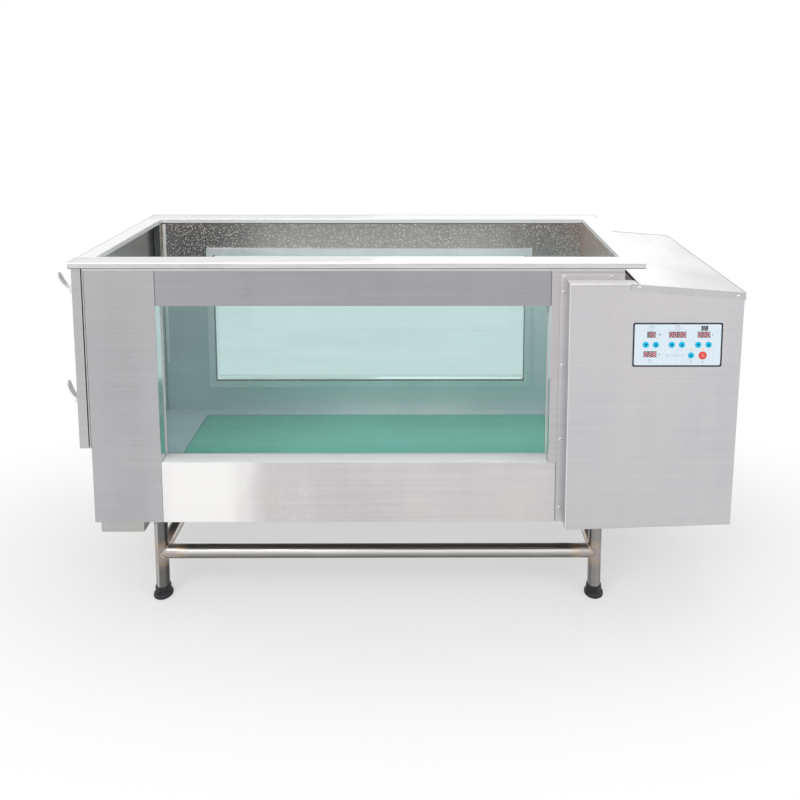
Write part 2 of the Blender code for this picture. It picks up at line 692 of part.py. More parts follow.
def build_hinge(root, door):
    """A continuous hinge: two leaves with interleaved knuckles on one pin."""
    low = DOOR_BOTTOM + HINGE_END_MARGIN
    high = WALL_TOP - HINGE_END_MARGIN
    step = (high - low) / KNUCKLE_COUNT
    spans = [(low + step * n + KNUCKLE_GAP / 2, low + step * (n + 1) - KNUCKLE_GAP / 2)
             for n in range(KNUCKLE_COUNT)]
    near = CLEARANCE
    far = CLEARANCE + HINGE_LEAF_THICKNESS
    frame_leaf = block("hinge_frame_leaf",
                       (HINGE_X + HINGE_LEAF_START, TANK_LEFT + HINGE_LEAF_WIDTH),
                       (OUTER_Y + near, OUTER_Y + far), (low, high))
    door_leaf = block("hinge_door_leaf", (DOOR_FACE - far, DOOR_FACE - near),
                      (HINGE_Y - HINGE_LEAF_START - HINGE_LEAF_WIDTH, HINGE_Y - HINGE_LEAF_START),
                      (low, high))
    for number, span in enumerate(spans):
        if number % 2 == 0:
            tongue = ((HINGE_X, HINGE_X + HINGE_LEAF_START + SHEET),
                      (OUTER_Y + near, OUTER_Y + far))
            add_knuckle(frame_leaf, number, tongue, span)
        else:
            tongue = ((DOOR_FACE - far, DOOR_FACE - near),
                      (HINGE_Y - HINGE_LEAF_START - SHEET, HINGE_Y))
            add_knuckle(door_leaf, number, tongue, span)
    bore = rod("cutter_hinge_bore", (HINGE_X, HINGE_Y, low - CUTTER_REACH),
               (HINGE_X, HINGE_Y, high + CUTTER_REACH), HINGE_PIN_RADIUS + CLEARANCE, HINGE_SIDES)
    carve(frame_leaf, bore)
    carve(door_leaf, bore)
    finish(frame_leaf, "polished steel", root)
    finish(door_leaf, "polished steel", door)
    finish(hinge_pin(low, high), "polished steel", root)


def add_knuckle(leaf, number, tongue, span):
    """Joins one knuckle to a leaf, with the tongue that reaches it."""
    fuse(leaf, block("union_tongue_" + str(number), tongue[0], tongue[1], span))
    fuse(leaf, rod("union_knuckle_" + str(number), (HINGE_X, HINGE_Y, span[0]),
                   (HINGE_X, HINGE_Y, span[1]), KNUCKLE_RADIUS, HINGE_SIDES))


def hinge_pin(low, high):
    """The hinge's pin, with a head at its top and its end riveted over."""
    head = HINGE_PIN_RADIUS + SHEET
    top = high + CLEARANCE
    bottom = low - CLEARANCE
    profile = [(0.0, top + SHEET), (head, top + SHEET), (head, top), (HINGE_PIN_RADIUS, top),
               (HINGE_PIN_RADIUS, bottom), (head, bottom), (head, bottom - SHEET),
               (0.0, bottom - SHEET)]
    return turned("hinge_pin", profile, (HINGE_X, HINGE_Y, 0.0), sides=HINGE_SIDES)


def build_latch(which, door):
    """One lever latch on the door's outer face, near its free edge."""
    y = -OUTER_Y + LATCH_INSET
    x = DOOR_FACE - CLEARANCE - LATCH_STANDOFF
    z = WALL_TOP - LATCH_DROPS[which]
    half = LATCH_BRACKET_WIDTH / 2
    back = LATCH_STANDOFF
    ear = [(x + back, z - LATCH_BRACKET_BELOW), (x + back, z + LATCH_BRACKET_ABOVE)]
    ear += arc((x, z), LATCH_HUB_RADIUS + SHEET, 90.0, 225.0)
    ear += [(x + back - SHEET * 2, z - LATCH_BRACKET_BELOW)]
    bracket = plate("latch_bracket_" + which, [ear], (y - half, y + half))
    slot = half - LATCH_EAR
    carve(bracket, block("cutter_latch_slot_" + which,
                         (x - CUTTER_REACH * 2, x + back - LATCH_BRACKET_BASE),
                         (y - slot, y + slot), (z - CUTTER_REACH * 3, z + CUTTER_REACH * 3)))
    carve(bracket, rod("cutter_latch_hole_" + which, (x, y - half - CUTTER_REACH, z),
                       (x, y + half + CUTTER_REACH, z), LATCH_PIN_RADIUS + CLEARANCE, HINGE_SIDES))
    finish(bracket, "polished steel", door)

    pivot = add_empty("latch_axis_" + which, (x, y, z), door)
    lever = lever_blade(which, (x, y, z))
    fuse(lever, rod("union_latch_hub_" + which, (x, y - slot + CLEARANCE, z),
                    (x, y + slot - CLEARANCE, z), LATCH_HUB_RADIUS, HINGE_SIDES))
    fuse(lever, rod("union_latch_pin_" + which, (x, y - half - SHEET, z),
                    (x, y + half + SHEET, z), LATCH_PIN_RADIUS, HINGE_SIDES))
    finish(lever, "polished steel", pivot)


def lever_blade(which, place):
    """The lever's curved blade: an open strip along a bent line, thickened."""
    tip = Vector((-LATCH_TIP_REACH[which], LATCH_TIP_RISE[which]))
    knee = Vector((tip.x * 0.8, tip.y * 0.28))
    bm = bmesh.new()
    rows = []
    for step in range(LEVER_STEPS + 1):
        t = step / LEVER_STEPS
        centre = knee * (2 * t * (1 - t)) + tip * (t * t)
        width = LEVER_ROOT_WIDTH + (LEVER_TIP_WIDTH - LEVER_ROOT_WIDTH) * t
        if step == LEVER_STEPS:
            width *= 0.7
        rows.append([bm.verts.new((centre.x, side * width / 2, centre.y)) for side in (-1, 1)])
    for (a, b), (c, d) in zip(rows, rows[1:]):
        bm.faces.new((a, b, d, c))
    blade = new_object("latch_lever_" + which, bm)
    blade.location = place
    thicken = blade.modifiers.new("strip", "SOLIDIFY")
    thicken.thickness = LEVER_THICKNESS
    thicken.offset = 0.0
    bevel(blade, LEVER_THICKNESS * 0.25)
    return blade


def build_treadmill(root):
    """The rails, deck, rollers, walking belt and end covers on the tank's floor."""
    ends = (JAMB_RIGHT + CLEARANCE, END_WALL_INNER - CLEARANCE)
    height = (FLOOR_TOP + CLEARANCE, RAIL_TOP)
    past = CUTTER_REACH
    for end, span in (("front", (-INNER_Y + CLEARANCE, -RAIL_INNER_Y)),
                      ("rear", (RAIL_INNER_Y, INNER_Y - CLEARANCE))):
        rail = block("belt_rail_" + end, ends, span, height)
        through = (span[0] - past, span[1] + past)
        carve(rail, block("cutter_slot_" + end,
                          (IDLER_X - TENSION_SLOT / 2, IDLER_X + TENSION_SLOT / 2), through,
                          (AXIS_Z - IDLER_SHAFT_RADIUS - CLEARANCE,
                           AXIS_Z + IDLER_SHAFT_RADIUS + CLEARANCE)))
        carve(rail, rod("cutter_bearing_" + end, (DRIVE_X, through[0], AXIS_Z),
                        (DRIVE_X, through[1], AXIS_Z), DRIVE_SHAFT_RADIUS + CLEARANCE))
        finish(rail, "brushed steel", root)

    underside = BELT_TOP - BELT_THICKNESS - CLEARANCE
    gap = ROLLER_RADIUS + DECK_ROLLER_GAP
    deck_y = RAIL_INNER_Y - CLEARANCE
    finish(block("running_deck", (IDLER_X + gap, DRIVE_X - gap), (-deck_y, deck_y),
                 (underside - DECK_THICKNESS, underside), PANEL_EDGE), "deck board", root)

    shaft_end = INNER_Y - SHAFT_END_INSET
    idler = add_empty("idler_axis", (IDLER_X, 0.0, AXIS_Z), root)
    finish(roller("idler_roller", IDLER_X, IDLER_SHAFT_RADIUS, shaft_end, shaft_end),
           "polished steel", idler)
    drive = add_empty("drive_axis", (DRIVE_X, 0.0, AXIS_Z), root)
    finish(roller("drive_roller", DRIVE_X, DRIVE_SHAFT_RADIUS, -PULLEY_FRONT, shaft_end),
           "polished steel", drive)
    finish(pulley("driven_pulley", (DRIVE_X, AXIS_Z), DRIVEN_TEETH,
                  DRIVE_SHAFT_RADIUS + CLEARANCE), "cast aluminium", drive)
    finish(walking_belt(), "green belt", root)

    cover_z = (RAIL_TOP + CLEARANCE, RAIL_TOP + CLEARANCE + SHEET)
    cover_y = (-INNER_Y + 2 * CLEARANCE, INNER_Y - 2 * CLEARANCE)
    finish(block("belt_cover_left", (ends[0], IDLER_X - BELT_COVER_LAP), cover_y, cover_z,
                 SHEET / 4), "brushed steel", root)
    finish(block("belt_cover_right", (DRIVE_X + BELT_COVER_LAP, ends[1]), cover_y, cover_z,
                 SHEET / 4), "brushed steel", root)


def roller(name, x, shaft_radius, front_reach, rear_reach):
    """A crowned drum on a through shaft along Y; the reaches are its ends from the middle."""
    half = BELT_Y + ROLLER_END_GAP
    end_radius = ROLLER_RADIUS - ROLLER_CROWN
    profile = [(0.0, front_reach), (shaft_radius - 0.001, front_reach),
               (shaft_radius, front_reach - 0.001), (shaft_radius, half),
               (end_radius - 0.001, half), (end_radius, half - 0.001),
               (ROLLER_RADIUS, half * 0.4), (ROLLER_RADIUS, -half * 0.4),
               (end_radius, 0.001 - half), (end_radius - 0.001, -half), (shaft_radius, -half),
               (shaft_radius, 0.001 - rear_reach), (shaft_radius - 0.001, -rear_reach),
               (0.0, -rear_reach)]
    return turned(name, profile, (x, 0.0, AXIS_Z), along_y=True)


def walking_belt():
    """The endless belt round both rollers."""
    loops = []
    for radius in (ROLLER_RADIUS + CLEARANCE + BELT_THICKNESS, ROLLER_RADIUS + CLEARANCE):
        loops.append(arc((DRIVE_X, AXIS_Z), radius, -90.0, 90.0, 12)
                     + arc((IDLER_X, AXIS_Z), radius, 90.0, 270.0, 12))
    return plate("walking_belt", loops, (-BELT_Y, BELT_Y))


def tooth_radius(teeth):
    """The outer radius of a toothed pulley."""
    return teeth * TOOTH_PITCH / (2 * math.pi)


def pulley(name, centre, teeth, bore):
    """A toothed belt pulley in the drive cover, bored where a shaft passes through it."""
    tip = tooth_radius(teeth)
    points = []
    for tooth in range(teeth):
        for share, radius in ((0.05, tip), (0.45, tip), (0.60, tip - TOOTH_DEPTH),
                              (0.90, tip - TOOTH_DEPTH)):
            angle = 2 * math.pi * (tooth + share) / teeth
            points.append((centre[0] + radius * math.cos(angle),
                           centre[1] + radius * math.sin(angle)))
    loops = [points] + ([circle(centre, bore)] if bore else [])
    return plate(name, loops, (PULLEY_FRONT, PULLEY_FRONT + PULLEY_WIDTH))


def belt_loop(start, start_radius, end, end_radius):
    """The loop of a belt round two pulleys, as arcs joined by the outer tangents."""
    line = Vector(end) - Vector(start)
    heading = math.degrees(math.atan2(line.y, line.x))
    slant = math.degrees(math.acos((start_radius - end_radius) / line.length))
    return (arc(end, end_radius, heading - slant, heading + slant, 14)
            + arc(start, start_radius, heading + slant, heading + 360.0 - slant, 14))


def build_drive(root):
    """The geared motor on the tank's end wall, its pulley and the toothed belt."""
    front = GEARBOX_SETBACK - OUTER_Y
    back = front + GEARBOX_DEPTH
    half_width = MOTOR_X - HOUSING_LEFT
    motor = block("gear_motor", (HOUSING_LEFT, MOTOR_X + half_width), (front, back),
                  (MOTOR_Z - GEARBOX_HEIGHT / 2, MOTOR_Z + GEARBOX_HEIGHT / 2), 0.008)
    centre = (MOTOR_X, back, MOTOR_Z)
    fuse(motor, turned("union_motor_body",
                       [(0.0, 0.004), (MOTOR_RADIUS, 0.004), (MOTOR_RADIUS, -MOTOR_LENGTH * 0.75),
                        (MOTOR_RADIUS + 0.004, -MOTOR_LENGTH * 0.76),
                        (MOTOR_RADIUS + 0.004, -MOTOR_LENGTH + 0.004),
                        (MOTOR_RADIUS, -MOTOR_LENGTH), (0.0, -MOTOR_LENGTH)], centre, along_y=True))
    finish(motor, "motor enamel", root)

    axis = add_empty("motor_axis", (MOTOR_X, PULLEY_FRONT, MOTOR_Z), root)
    wheel = pulley("motor_pulley", (MOTOR_X, MOTOR_Z), MOTOR_TEETH, 0.0)
    fuse(wheel, rod("union_motor_shaft", (MOTOR_X, PULLEY_FRONT + PULLEY_WIDTH / 2, MOTOR_Z),
                    (MOTOR_X, front - CLEARANCE, MOTOR_Z), MOTOR_SHAFT_RADIUS))
    finish(wheel, "cast aluminium", axis)

    loops = []
    for gap in (CLEARANCE + DRIVE_BELT_THICKNESS, CLEARANCE):
        loops.append(belt_loop((DRIVE_X, AXIS_Z), tooth_radius(DRIVEN_TEETH) + gap,
                               (MOTOR_X, MOTOR_Z), tooth_radius(MOTOR_TEETH) + gap))
    finish(plate("drive_belt", loops, (PULLEY_FRONT, PULLEY_FRONT + PULLEY_WIDTH)),
           "black rubber", root)


def housing_bottom(x):
    """The level of the cover's and the housing's underside, which rises to the right."""
    share = (x - COVER_LEFT) / (HOUSING_RIGHT - HOUSING_LEAN - COVER_LEFT)
    return COVER_BOTTOM + HOUSING_BOTTOM_RISE * share


def housing_top(x):
    """The level of the housing's top edge, which falls to the right of the tank's end."""
    return COVER_TOP - HOUSING_TOP_FALL * (x - HOUSING_LEFT) / (HOUSING_RIGHT - HOUSING_LEFT)


def right_side(x_top, drop=0.0):
    """The housing's leaning right side, from its foot to its top."""
    foot_x = HOUSING_RIGHT - HOUSING_LEAN
    return [(foot_x, housing_bottom(foot_x)), (x_top, housing_top(x_top) - drop)]


def build_housing(root):
    """The drive cover in front, the control housing behind it, and the lid on top."""
    face = [(COVER_LEFT, COVER_BOTTOM)] + right_side(HOUSING_RIGHT)
    face += [(HOUSING_LEFT, COVER_TOP), (COVER_LEFT, COVER_TOP)]
    back = -OUTER_Y - CLEARANCE
    cover = plate("drive_cover", [face], (COVER_FRONT, back))
    carve(cover, plate("cutter_cover", [inset(face, SHEET)],
                       (COVER_FRONT + SHEET, back + CUTTER_REACH)))
    flange_y = (back - SHEET, back)
    fuse(cover, block("union_flange_left", (COVER_LEFT - COVER_FLANGE, COVER_LEFT + SHEET / 2),
                      flange_y, (COVER_BOTTOM, COVER_TOP + COVER_FLANGE)))
    fuse(cover, block("union_flange_top", (COVER_LEFT - COVER_FLANGE, TANK_RIGHT),
                      flange_y, (COVER_TOP - SHEET / 2, COVER_TOP + COVER_FLANGE)))
    carve(cover, block("cutter_panel_aperture",
                       (PANEL_X - PANEL_WIDTH / 2 + PANEL_APERTURE_MARGIN,
                        PANEL_X + PANEL_WIDTH / 2 - PANEL_APERTURE_MARGIN),
                       (COVER_FRONT - CUTTER_REACH, COVER_FRONT + CUTTER_REACH),
                       (PANEL_Z - PANEL_HEIGHT / 2 + PANEL_APERTURE_MARGIN,
                        PANEL_Z + PANEL_HEIGHT / 2 - PANEL_APERTURE_MARGIN)))
    finish(cover, "brushed steel", root)

    sides = [(HOUSING_LEFT, housing_bottom(HOUSING_LEFT))] + right_side(HOUSING_RIGHT)
    sides += [(HOUSING_LEFT, housing_top(HOUSING_LEFT))]
    housing = plate("control_housing", [sides], (back + CLEARANCE, HOUSING_REAR))
    foot_x = HOUSING_RIGHT - HOUSING_LEAN - SHEET
    hollow = [(HOUSING_LEFT - SHEET, housing_bottom(HOUSING_LEFT) + SHEET),
              (foot_x, housing_bottom(foot_x) + SHEET),
              (HOUSING_RIGHT - SHEET, COVER_TOP + SHEET), (HOUSING_LEFT - SHEET, COVER_TOP + SHEET)]
    carve(housing, plate("cutter_housing", [hollow], (back - CUTTER_REACH, HOUSING_REAR - SHEET)))
    gland_x = HOUSING_LEFT + GLAND_OFFSET
    gland_y = HOUSING_REAR - GLAND_REAR_INSET
    under = housing_bottom(gland_x)
    fuse(housing, rod("union_gland", (gland_x, gland_y, under - GLAND_LENGTH),
                      (gland_x, gland_y, under + SHEET * 0.4), GLAND_RADIUS, HINGE_SIDES))
    fuse(housing, rod("union_gland_nut", (gland_x, gland_y, under - GLAND_NUT_LENGTH),
                      (gland_x, gland_y, under + SHEET * 0.6), GLAND_NUT_RADIUS, 6))
    finish(housing, "brushed steel", root)
    finish(housing_lid(), "brushed steel", root)


def housing_lid():
    """The screwed lid: a sloping sheet with lips in front, behind and at its right side."""
    left = HOUSING_LEFT + LID_LIP_START
    right = HOUSING_RIGHT + CLEARANCE + SHEET
    rise = CLEARANCE + SHEET
    front = COVER_FRONT - CLEARANCE - SHEET
    rear = HOUSING_REAR + CLEARANCE + SHEET
    corner = (left + LID_CORNER, housing_top(left) - LID_LIP + LID_CORNER)
    points = arc(corner, LID_CORNER, 180.0, 270.0)
    points += [(right, housing_top(right) - LID_LIP), (right, housing_top(right) + rise),
               (left, housing_top(left) + rise)]
    lid = plate("housing_lid", [points], (front, rear))
    low = left - CUTTER_REACH
    hollow = [(low, housing_top(low) - LID_LIP * 2), (right - SHEET, housing_top(right) - LID_LIP * 2),
              (right - SHEET, housing_top(right - SHEET) + CLEARANCE),
              (low, housing_top(low) + CLEARANCE)]
    carve(lid, plate("cutter_lid", [hollow], (front + SHEET, rear - SHEET)))
    carve(lid, block("cutter_lid_notch", (left - CUTTER_REACH, left + LID_NOTCH),
                     (front + SHEET, rear + CUTTER_REACH),
                     (COVER_TOP - LID_LIP * 2, COVER_TOP + LID_LIP)))
    return lid


def build_controls(root):
    """The panel film, the display board behind it and the round keys that press into it."""
    windows = [rectangle((PANEL_X + x, PANEL_Z + z), width + 2 * CLEARANCE,
                         DISPLAY_HEIGHT + 2 * CLEARANCE) for x, z, width in DISPLAYS]
    holes = [circle((PANEL_X + x, PANEL_Z + z), key_radius(name) + CLEARANCE, KEY_SIDES)
             for name, (x, z) in KEYS.items()]
    edge = rounded_rectangle((PANEL_X, PANEL_Z), PANEL_WIDTH, PANEL_HEIGHT, PANEL_CORNER)
    back = COVER_FRONT - CLEARANCE
    finish(plate("control_panel", [edge] + windows + holes, (PANEL_FRONT, back)),
           "panel film", root)

    board_y = COVER_FRONT + SHEET + BOARD_SETBACK
    half_width = PANEL_WIDTH / 2 - CLEARANCE
    half_height = PANEL_HEIGHT / 2 - CLEARANCE
    board = block("display_board", (PANEL_X - half_width, PANEL_X + half_width),
                  (board_y, board_y + BOARD_THICKNESS),
                  (PANEL_Z - half_height, PANEL_Z + half_height))
    into = board_y + BOARD_THICKNESS * 0.4
    for number, (x, z, width) in enumerate(DISPLAYS):
        fuse(board, block("union_display_" + str(number),
                          (PANEL_X + x - width / 2, PANEL_X + x + width / 2),
                          (PANEL_FRONT + DISPLAY_RECESS, into),
                          (PANEL_Z + z - DISPLAY_HEIGHT / 2, PANEL_Z + z + DISPLAY_HEIGHT / 2)))
    for number, (right, up) in enumerate(((-1, -1), (1, -1), (1, 1), (-1, 1))):
        x = PANEL_X + right * (half_width - BOARD_POST * 0.6)
        z = PANEL_Z + up * (half_height - BOARD_POST * 0.6)
        fuse(board, block("union_post_" + str(number), (x - BOARD_POST / 2, x + BOARD_POST / 2),
                          (COVER_FRONT + SHEET + CLEARANCE, board_y + BOARD_THICKNESS * 0.7),
                          (z - BOARD_POST / 2, z + BOARD_POST / 2)))
    finish(board, "display black", root)

    for name, (x, z) in KEYS.items():
        place = (PANEL_X + x, PANEL_FRONT, PANEL_Z + z)
        axis = add_empty(name + "_axis", place, root)
        look = "red key" if name == "key_stop" else "blue key"
        finish(key_cap(name, place, board_y), look, axis)


def key_radius(name):
    """The radius of a key's cap."""
    return STOP_KEY_RADIUS if name == "key_stop" else KEY_RADIUS


def key_cap(name, place, board_y):
    """A round key with a low dome, a flange behind the film and a stem to its switch."""
    radius = key_radius(name)
    behind = -PANEL_THICKNESS - CLEARANCE
    stem_end = place[1] - board_y + KEY_TRAVEL + CLEARANCE
    profile = [(0.0, KEY_PROUD), (radius * 0.7, KEY_PROUD * 0.85), (radius * 0.94, KEY_PROUD * 0.5),
               (radius, 0.0), (radius, behind), (radius + KEY_FLANGE, behind),
               (radius + KEY_FLANGE, behind - KEY_FLANGE), (KEY_STEM_RADIUS, behind - KEY_FLANGE),
               (KEY_STEM_RADIUS, stem_end), (0.0, stem_end)]
    return turned(name, profile, place, along_y=True, sides=KEY_SIDES)


def centre_footprint(root):
    """Moves the root empty so that the box round all pieces stands on the world origin."""
    bpy.context.view_layer.update()
    depsgraph = bpy.context.evaluated_depsgraph_get()
    corners = []
    for obj in bpy.data.collections[PARTS].objects:
        if obj.type == "EMPTY":
            continue
        evaluated = obj.evaluated_get(depsgraph)
        mesh = evaluated.to_mesh()
        corners += [evaluated.matrix_world @ vertex.co for vertex in mesh.vertices]
        evaluated.to_mesh_clear()
    for axis in (0, 1):
        values = [corner[axis] for corner in corners]
        root.location[axis] -= (min(values) + max(values)) / 2
    bpy.context.view_layer.update()


def main():
    """Builds the whole treadmill."""
    start_scene()
    root = add_empty(ROOT, (0.0, 0.0, 0.0))
    build_stand(root)
    build_walls(root)
    build_windows(root)
    build_rim(root)
    build_door(root)
    build_treadmill(root)
    build_drive(root)
    build_housing(root)
    build_controls(root)
    centre_footprint(root)


main()
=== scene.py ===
"""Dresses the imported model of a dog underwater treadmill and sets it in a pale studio."""

from __future__ import annotations

import logging
import math
from dataclasses import dataclass, replace
from enum import Enum
from functools import cached_property
from typing import Any, Callable, Optional, Sequence, Union

import bmesh
import bpy
from mathutils import Matrix, Vector


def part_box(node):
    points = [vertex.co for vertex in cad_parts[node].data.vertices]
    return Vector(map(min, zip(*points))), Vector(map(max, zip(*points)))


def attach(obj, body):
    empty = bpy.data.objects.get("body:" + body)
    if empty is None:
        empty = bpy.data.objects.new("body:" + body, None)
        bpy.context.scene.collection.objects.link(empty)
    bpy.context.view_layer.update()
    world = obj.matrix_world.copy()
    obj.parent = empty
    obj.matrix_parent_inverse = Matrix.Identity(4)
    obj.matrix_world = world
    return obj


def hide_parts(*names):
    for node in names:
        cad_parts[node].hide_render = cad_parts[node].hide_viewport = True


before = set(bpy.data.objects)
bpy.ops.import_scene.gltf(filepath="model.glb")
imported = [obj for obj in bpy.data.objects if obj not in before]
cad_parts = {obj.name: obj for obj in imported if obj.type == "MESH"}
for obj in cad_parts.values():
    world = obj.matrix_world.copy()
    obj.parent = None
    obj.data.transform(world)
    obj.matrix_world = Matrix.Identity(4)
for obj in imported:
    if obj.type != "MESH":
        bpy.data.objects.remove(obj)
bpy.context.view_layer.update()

log = logging.getLogger("treadmill")

Triple = tuple[float, float, float]
Pair = tuple[float, float]
Section = Callable[[float], Sequence[Pair]]


# Shader arithmetic


@dataclass(frozen=True, eq=False)
class Signal:
    """A node's output in Python arithmetic; each operator adds one Math node."""

    graph: "NodeGraph"
    socket: bpy.types.NodeSocket

    def _math(self, operation: str, first: "Value", second: "Value" = 0.0) -> "Signal":
        """Adds one Math node and returns its output."""
        return self.graph.read("ShaderNodeMath", {"operation": operation}, {0: first, 1: second})

    def __add__(self, other: "Value") -> "Signal":
        """Adds a value."""
        return self._math("ADD", self, other)

    __radd__ = __add__

    def __sub__(self, other: "Value") -> "Signal":
        """Takes a value away."""
        return self._math("SUBTRACT", self, other)

    def __rsub__(self, other: "Value") -> "Signal":
        """Takes this away from a value."""
        return self._math("SUBTRACT", other, self)

    def __mul__(self, other: "Value") -> "Signal":
        """Multiplies by a value."""
        return self._math("MULTIPLY", self, other)

    __rmul__ = __mul__

    def __abs__(self) -> "Signal":
        """Drops the sign."""
        return self._math("ABSOLUTE", self)

    def sine(self) -> "Signal":
        """The sine of an angle."""
        return self._math("SINE", self)

    def at_least(self, other: "Value") -> "Signal":
        """The greater of this and a value."""
        return self._math("MAXIMUM", self, other)

    def sway(self, amount: float) -> "Signal":
        """A noise's swing about zero, times an amount."""
        return (self - 0.5) * amount

    def eased(self, low: float, high: float) -> "Signal":
        """A smooth step.

        Args:
            low: Where it is 0.
            high: Where it is 1, which may lie below low.

        Returns:
            The step, from 0 to 1.
        """
        if low > high:
            return 1.0 - self.eased(high, low)
        return self.graph.read("ShaderNodeMapRange", {"interpolation_type": "SMOOTHSTEP"},
                               {0: self, 1: low, 2: high, 3: 0.0, 4: 1.0})


Value = Union[Signal, float]


@dataclass
class NodeGraph:
    """Adds nodes to one node tree."""

    tree: bpy.types.NodeTree

    def add(self, kind: str, settings: Optional[dict[str, Any]] = None,
            inputs: Optional[dict[Any, Any]] = None) -> bpy.types.Node:
        """Adds a node of any type.

        Args:
            kind: The node's type.
            settings: Its settings, set before its sockets; "stops" are a ramp's stops.
            inputs: Values or signals by socket name or number.

        Returns:
            The node.
        """
        node = self.tree.nodes.new(kind)
        for name, value in (settings or {}).items():
            if name == "stops":
                ramp = node.color_ramp.elements
                while len(ramp) < len(value):
                    ramp.new(1.0)
                for stop, (place, level) in zip(list(ramp), value):
                    stop.position, stop.color = place, (level, level, level, 1.0)
            else:
                setattr(node, name, value)
        for name, value in (inputs or {}).items():
            self.feed(node.inputs[name], value)
        return node

    def feed(self, socket: bpy.types.NodeSocket, value: Any) -> None:
        """Links a signal to a socket, or sets a constant on it.

        Args:
            socket: The input socket.
            value: A signal, a number, a colour or a vector.
        """
        if isinstance(value, Signal):
            self.tree.links.new(value.socket, socket)
        elif socket.type == "RGBA":
            socket.default_value = (*value, 1.0)
        else:
            socket.default_value = value

    def read(self, kind: str, settings: Optional[dict[str, Any]] = None,
             inputs: Optional[dict[Any, Any]] = None, output: Union[int, str] = 0) -> Signal:
        """Adds a node as add does, and returns one of its outputs."""
        return Signal(self, self.add(kind, settings, inputs).outputs[output])

    def place(self) -> Signal:
        """The object coordinate, which is the frame's own at rest."""
        return self.read("ShaderNodeTexCoord", output="Object")

    def axis(self, name: str) -> Signal:
        """The X, Y or Z coordinate in metres."""
        return self.read("ShaderNodeSeparateXYZ", None, {0: self.place()}, name)

    def facing(self, name: str) -> Signal:
        """The X, Y or Z part of the surface's own direction, from -1 to 1."""
        normal = self.read("ShaderNodeNewGeometry", output="Normal")
        return self.read("ShaderNodeSeparateXYZ", None, {0: normal}, name)

    def stretched(self, scale: Union[float, Triple]) -> Signal:
        """The object coordinate in other units.

        Args:
            scale: Features per metre, one number or one for each axis.

        Returns:
            The scaled vector.
        """
        factors = scale if isinstance(scale, tuple) else (scale,) * 3
        return self.read("ShaderNodeVectorMath", {"operation": "MULTIPLY"},
                         {0: self.place(), 1: factors})

    def noise(self, scale: Union[float, Triple], detail: float = 3.0,
              roughness: float = 0.6) -> Signal:
        """Soft noise about 0.5.

        Args:
            scale: Features per metre, one number or one for each axis.
            detail: The noise's octaves.
            roughness: How strong the finer octaves are.

        Returns:
            The noise, from 0 to 1.
        """
        return self.read("ShaderNodeTexNoise", None,
                         {"Vector": self.stretched(scale), "Scale": 1.0, "Detail": detail,
                          "Roughness": roughness})

    def specks(self, scale: Union[float, Triple], size: float, spread: float = 0.35) -> Signal:
        """Small spots scattered at random.

        Args:
            scale: Cells per metre, one number or one for each axis.
            size: A spot's radius as a share of its cell.
            spread: How soft its edge is, as a share of the radius.

        Returns:
            1 inside a spot and 0 outside.
        """
        cells = self.read("ShaderNodeTexVoronoi", None,
                          {"Vector": self.stretched(scale), "Scale": 1.0})
        return cells.eased(size, size * (1.0 - spread))

    def mix(self, factor: Value, first: Any, second: Any, blend: str = "MIX") -> Signal:
        """Mixes two colours, 0 for the first and 1 for the second."""
        return self.read("ShaderNodeMix", {"data_type": "RGBA", "blend_type": blend},
                         {0: factor, 6: first, 7: second}, 2)

    def shades(self, factor: Value, colour: Triple, dark: float, light: float) -> Signal:
        """Mixes a darker and a lighter shade of a colour."""
        return self.mix(factor, shaded(colour, dark), shaded(colour, light))

    def bump(self, height: Signal, distance: float, strength: float) -> Signal:
        """A relief for a shader's Normal, with its depth in metres and how much of it shows."""
        return self.read("ShaderNodeBump", None,
                         {"Strength": strength, "Distance": distance, "Height": height})


def shaded(colour: Triple, factor: float) -> Triple:
    """A colour made darker or lighter, no part above 1."""
    return tuple(min(part * factor, 1.0) for part in colour)


# Finishes


class Slot(Enum):
    """The record's material slots."""

    BRUSHED_STEEL = "brushed_steel"
    POLISHED_STEEL = "polished_steel"
    GLASS = "glass"
    BLACK_RUBBER = "black_rubber"
    GREY_RUBBER = "grey_rubber"
    GREEN_BELT = "green_belt"
    DECK_BOARD = "deck_board"
    MOTOR_ENAMEL = "motor_enamel"
    CAST_ALUMINIUM = "cast_aluminium"
    PANEL_FILM = "panel_film"
    DISPLAY_BLACK = "display_black"
    BLUE_KEY = "blue_key"
    RED_KEY = "red_key"


class Grain(Enum):
    """Which way the brush lines of a sheet run, as noise scales in features per metre."""

    LEVEL = (5.0, 5.0, 520.0)
    ALONG_X = (5.0, 520.0, 520.0)
    ALONG_Y = (520.0, 5.0, 520.0)


@dataclass
class Coat:
    """A sheet's colour, roughness and metal while marks are laid over it."""

    graph: NodeGraph
    colour: Any
    roughness: Value
    metallic: Value

    def lay(self, mask: Signal, colour: Any, share: float = 1.0, rough: float = 0.0,
            metal: float = 0.0, blend: str = "MIX") -> None:
        """Lays a mark over the coat.

        Args:
            mask: 1 where the mark is.
            colour: Its colour.
            share: How much it covers.
            rough: What it adds to the roughness.
            metal: What it adds to the metal.
            blend: How its colour goes over the coat's.
        """
        self.colour = self.graph.mix(mask * share, self.colour, colour, blend)
        if rough:
            self.roughness = self.roughness + mask * rough
        if metal:
            self.metallic = self.metallic + mask * metal


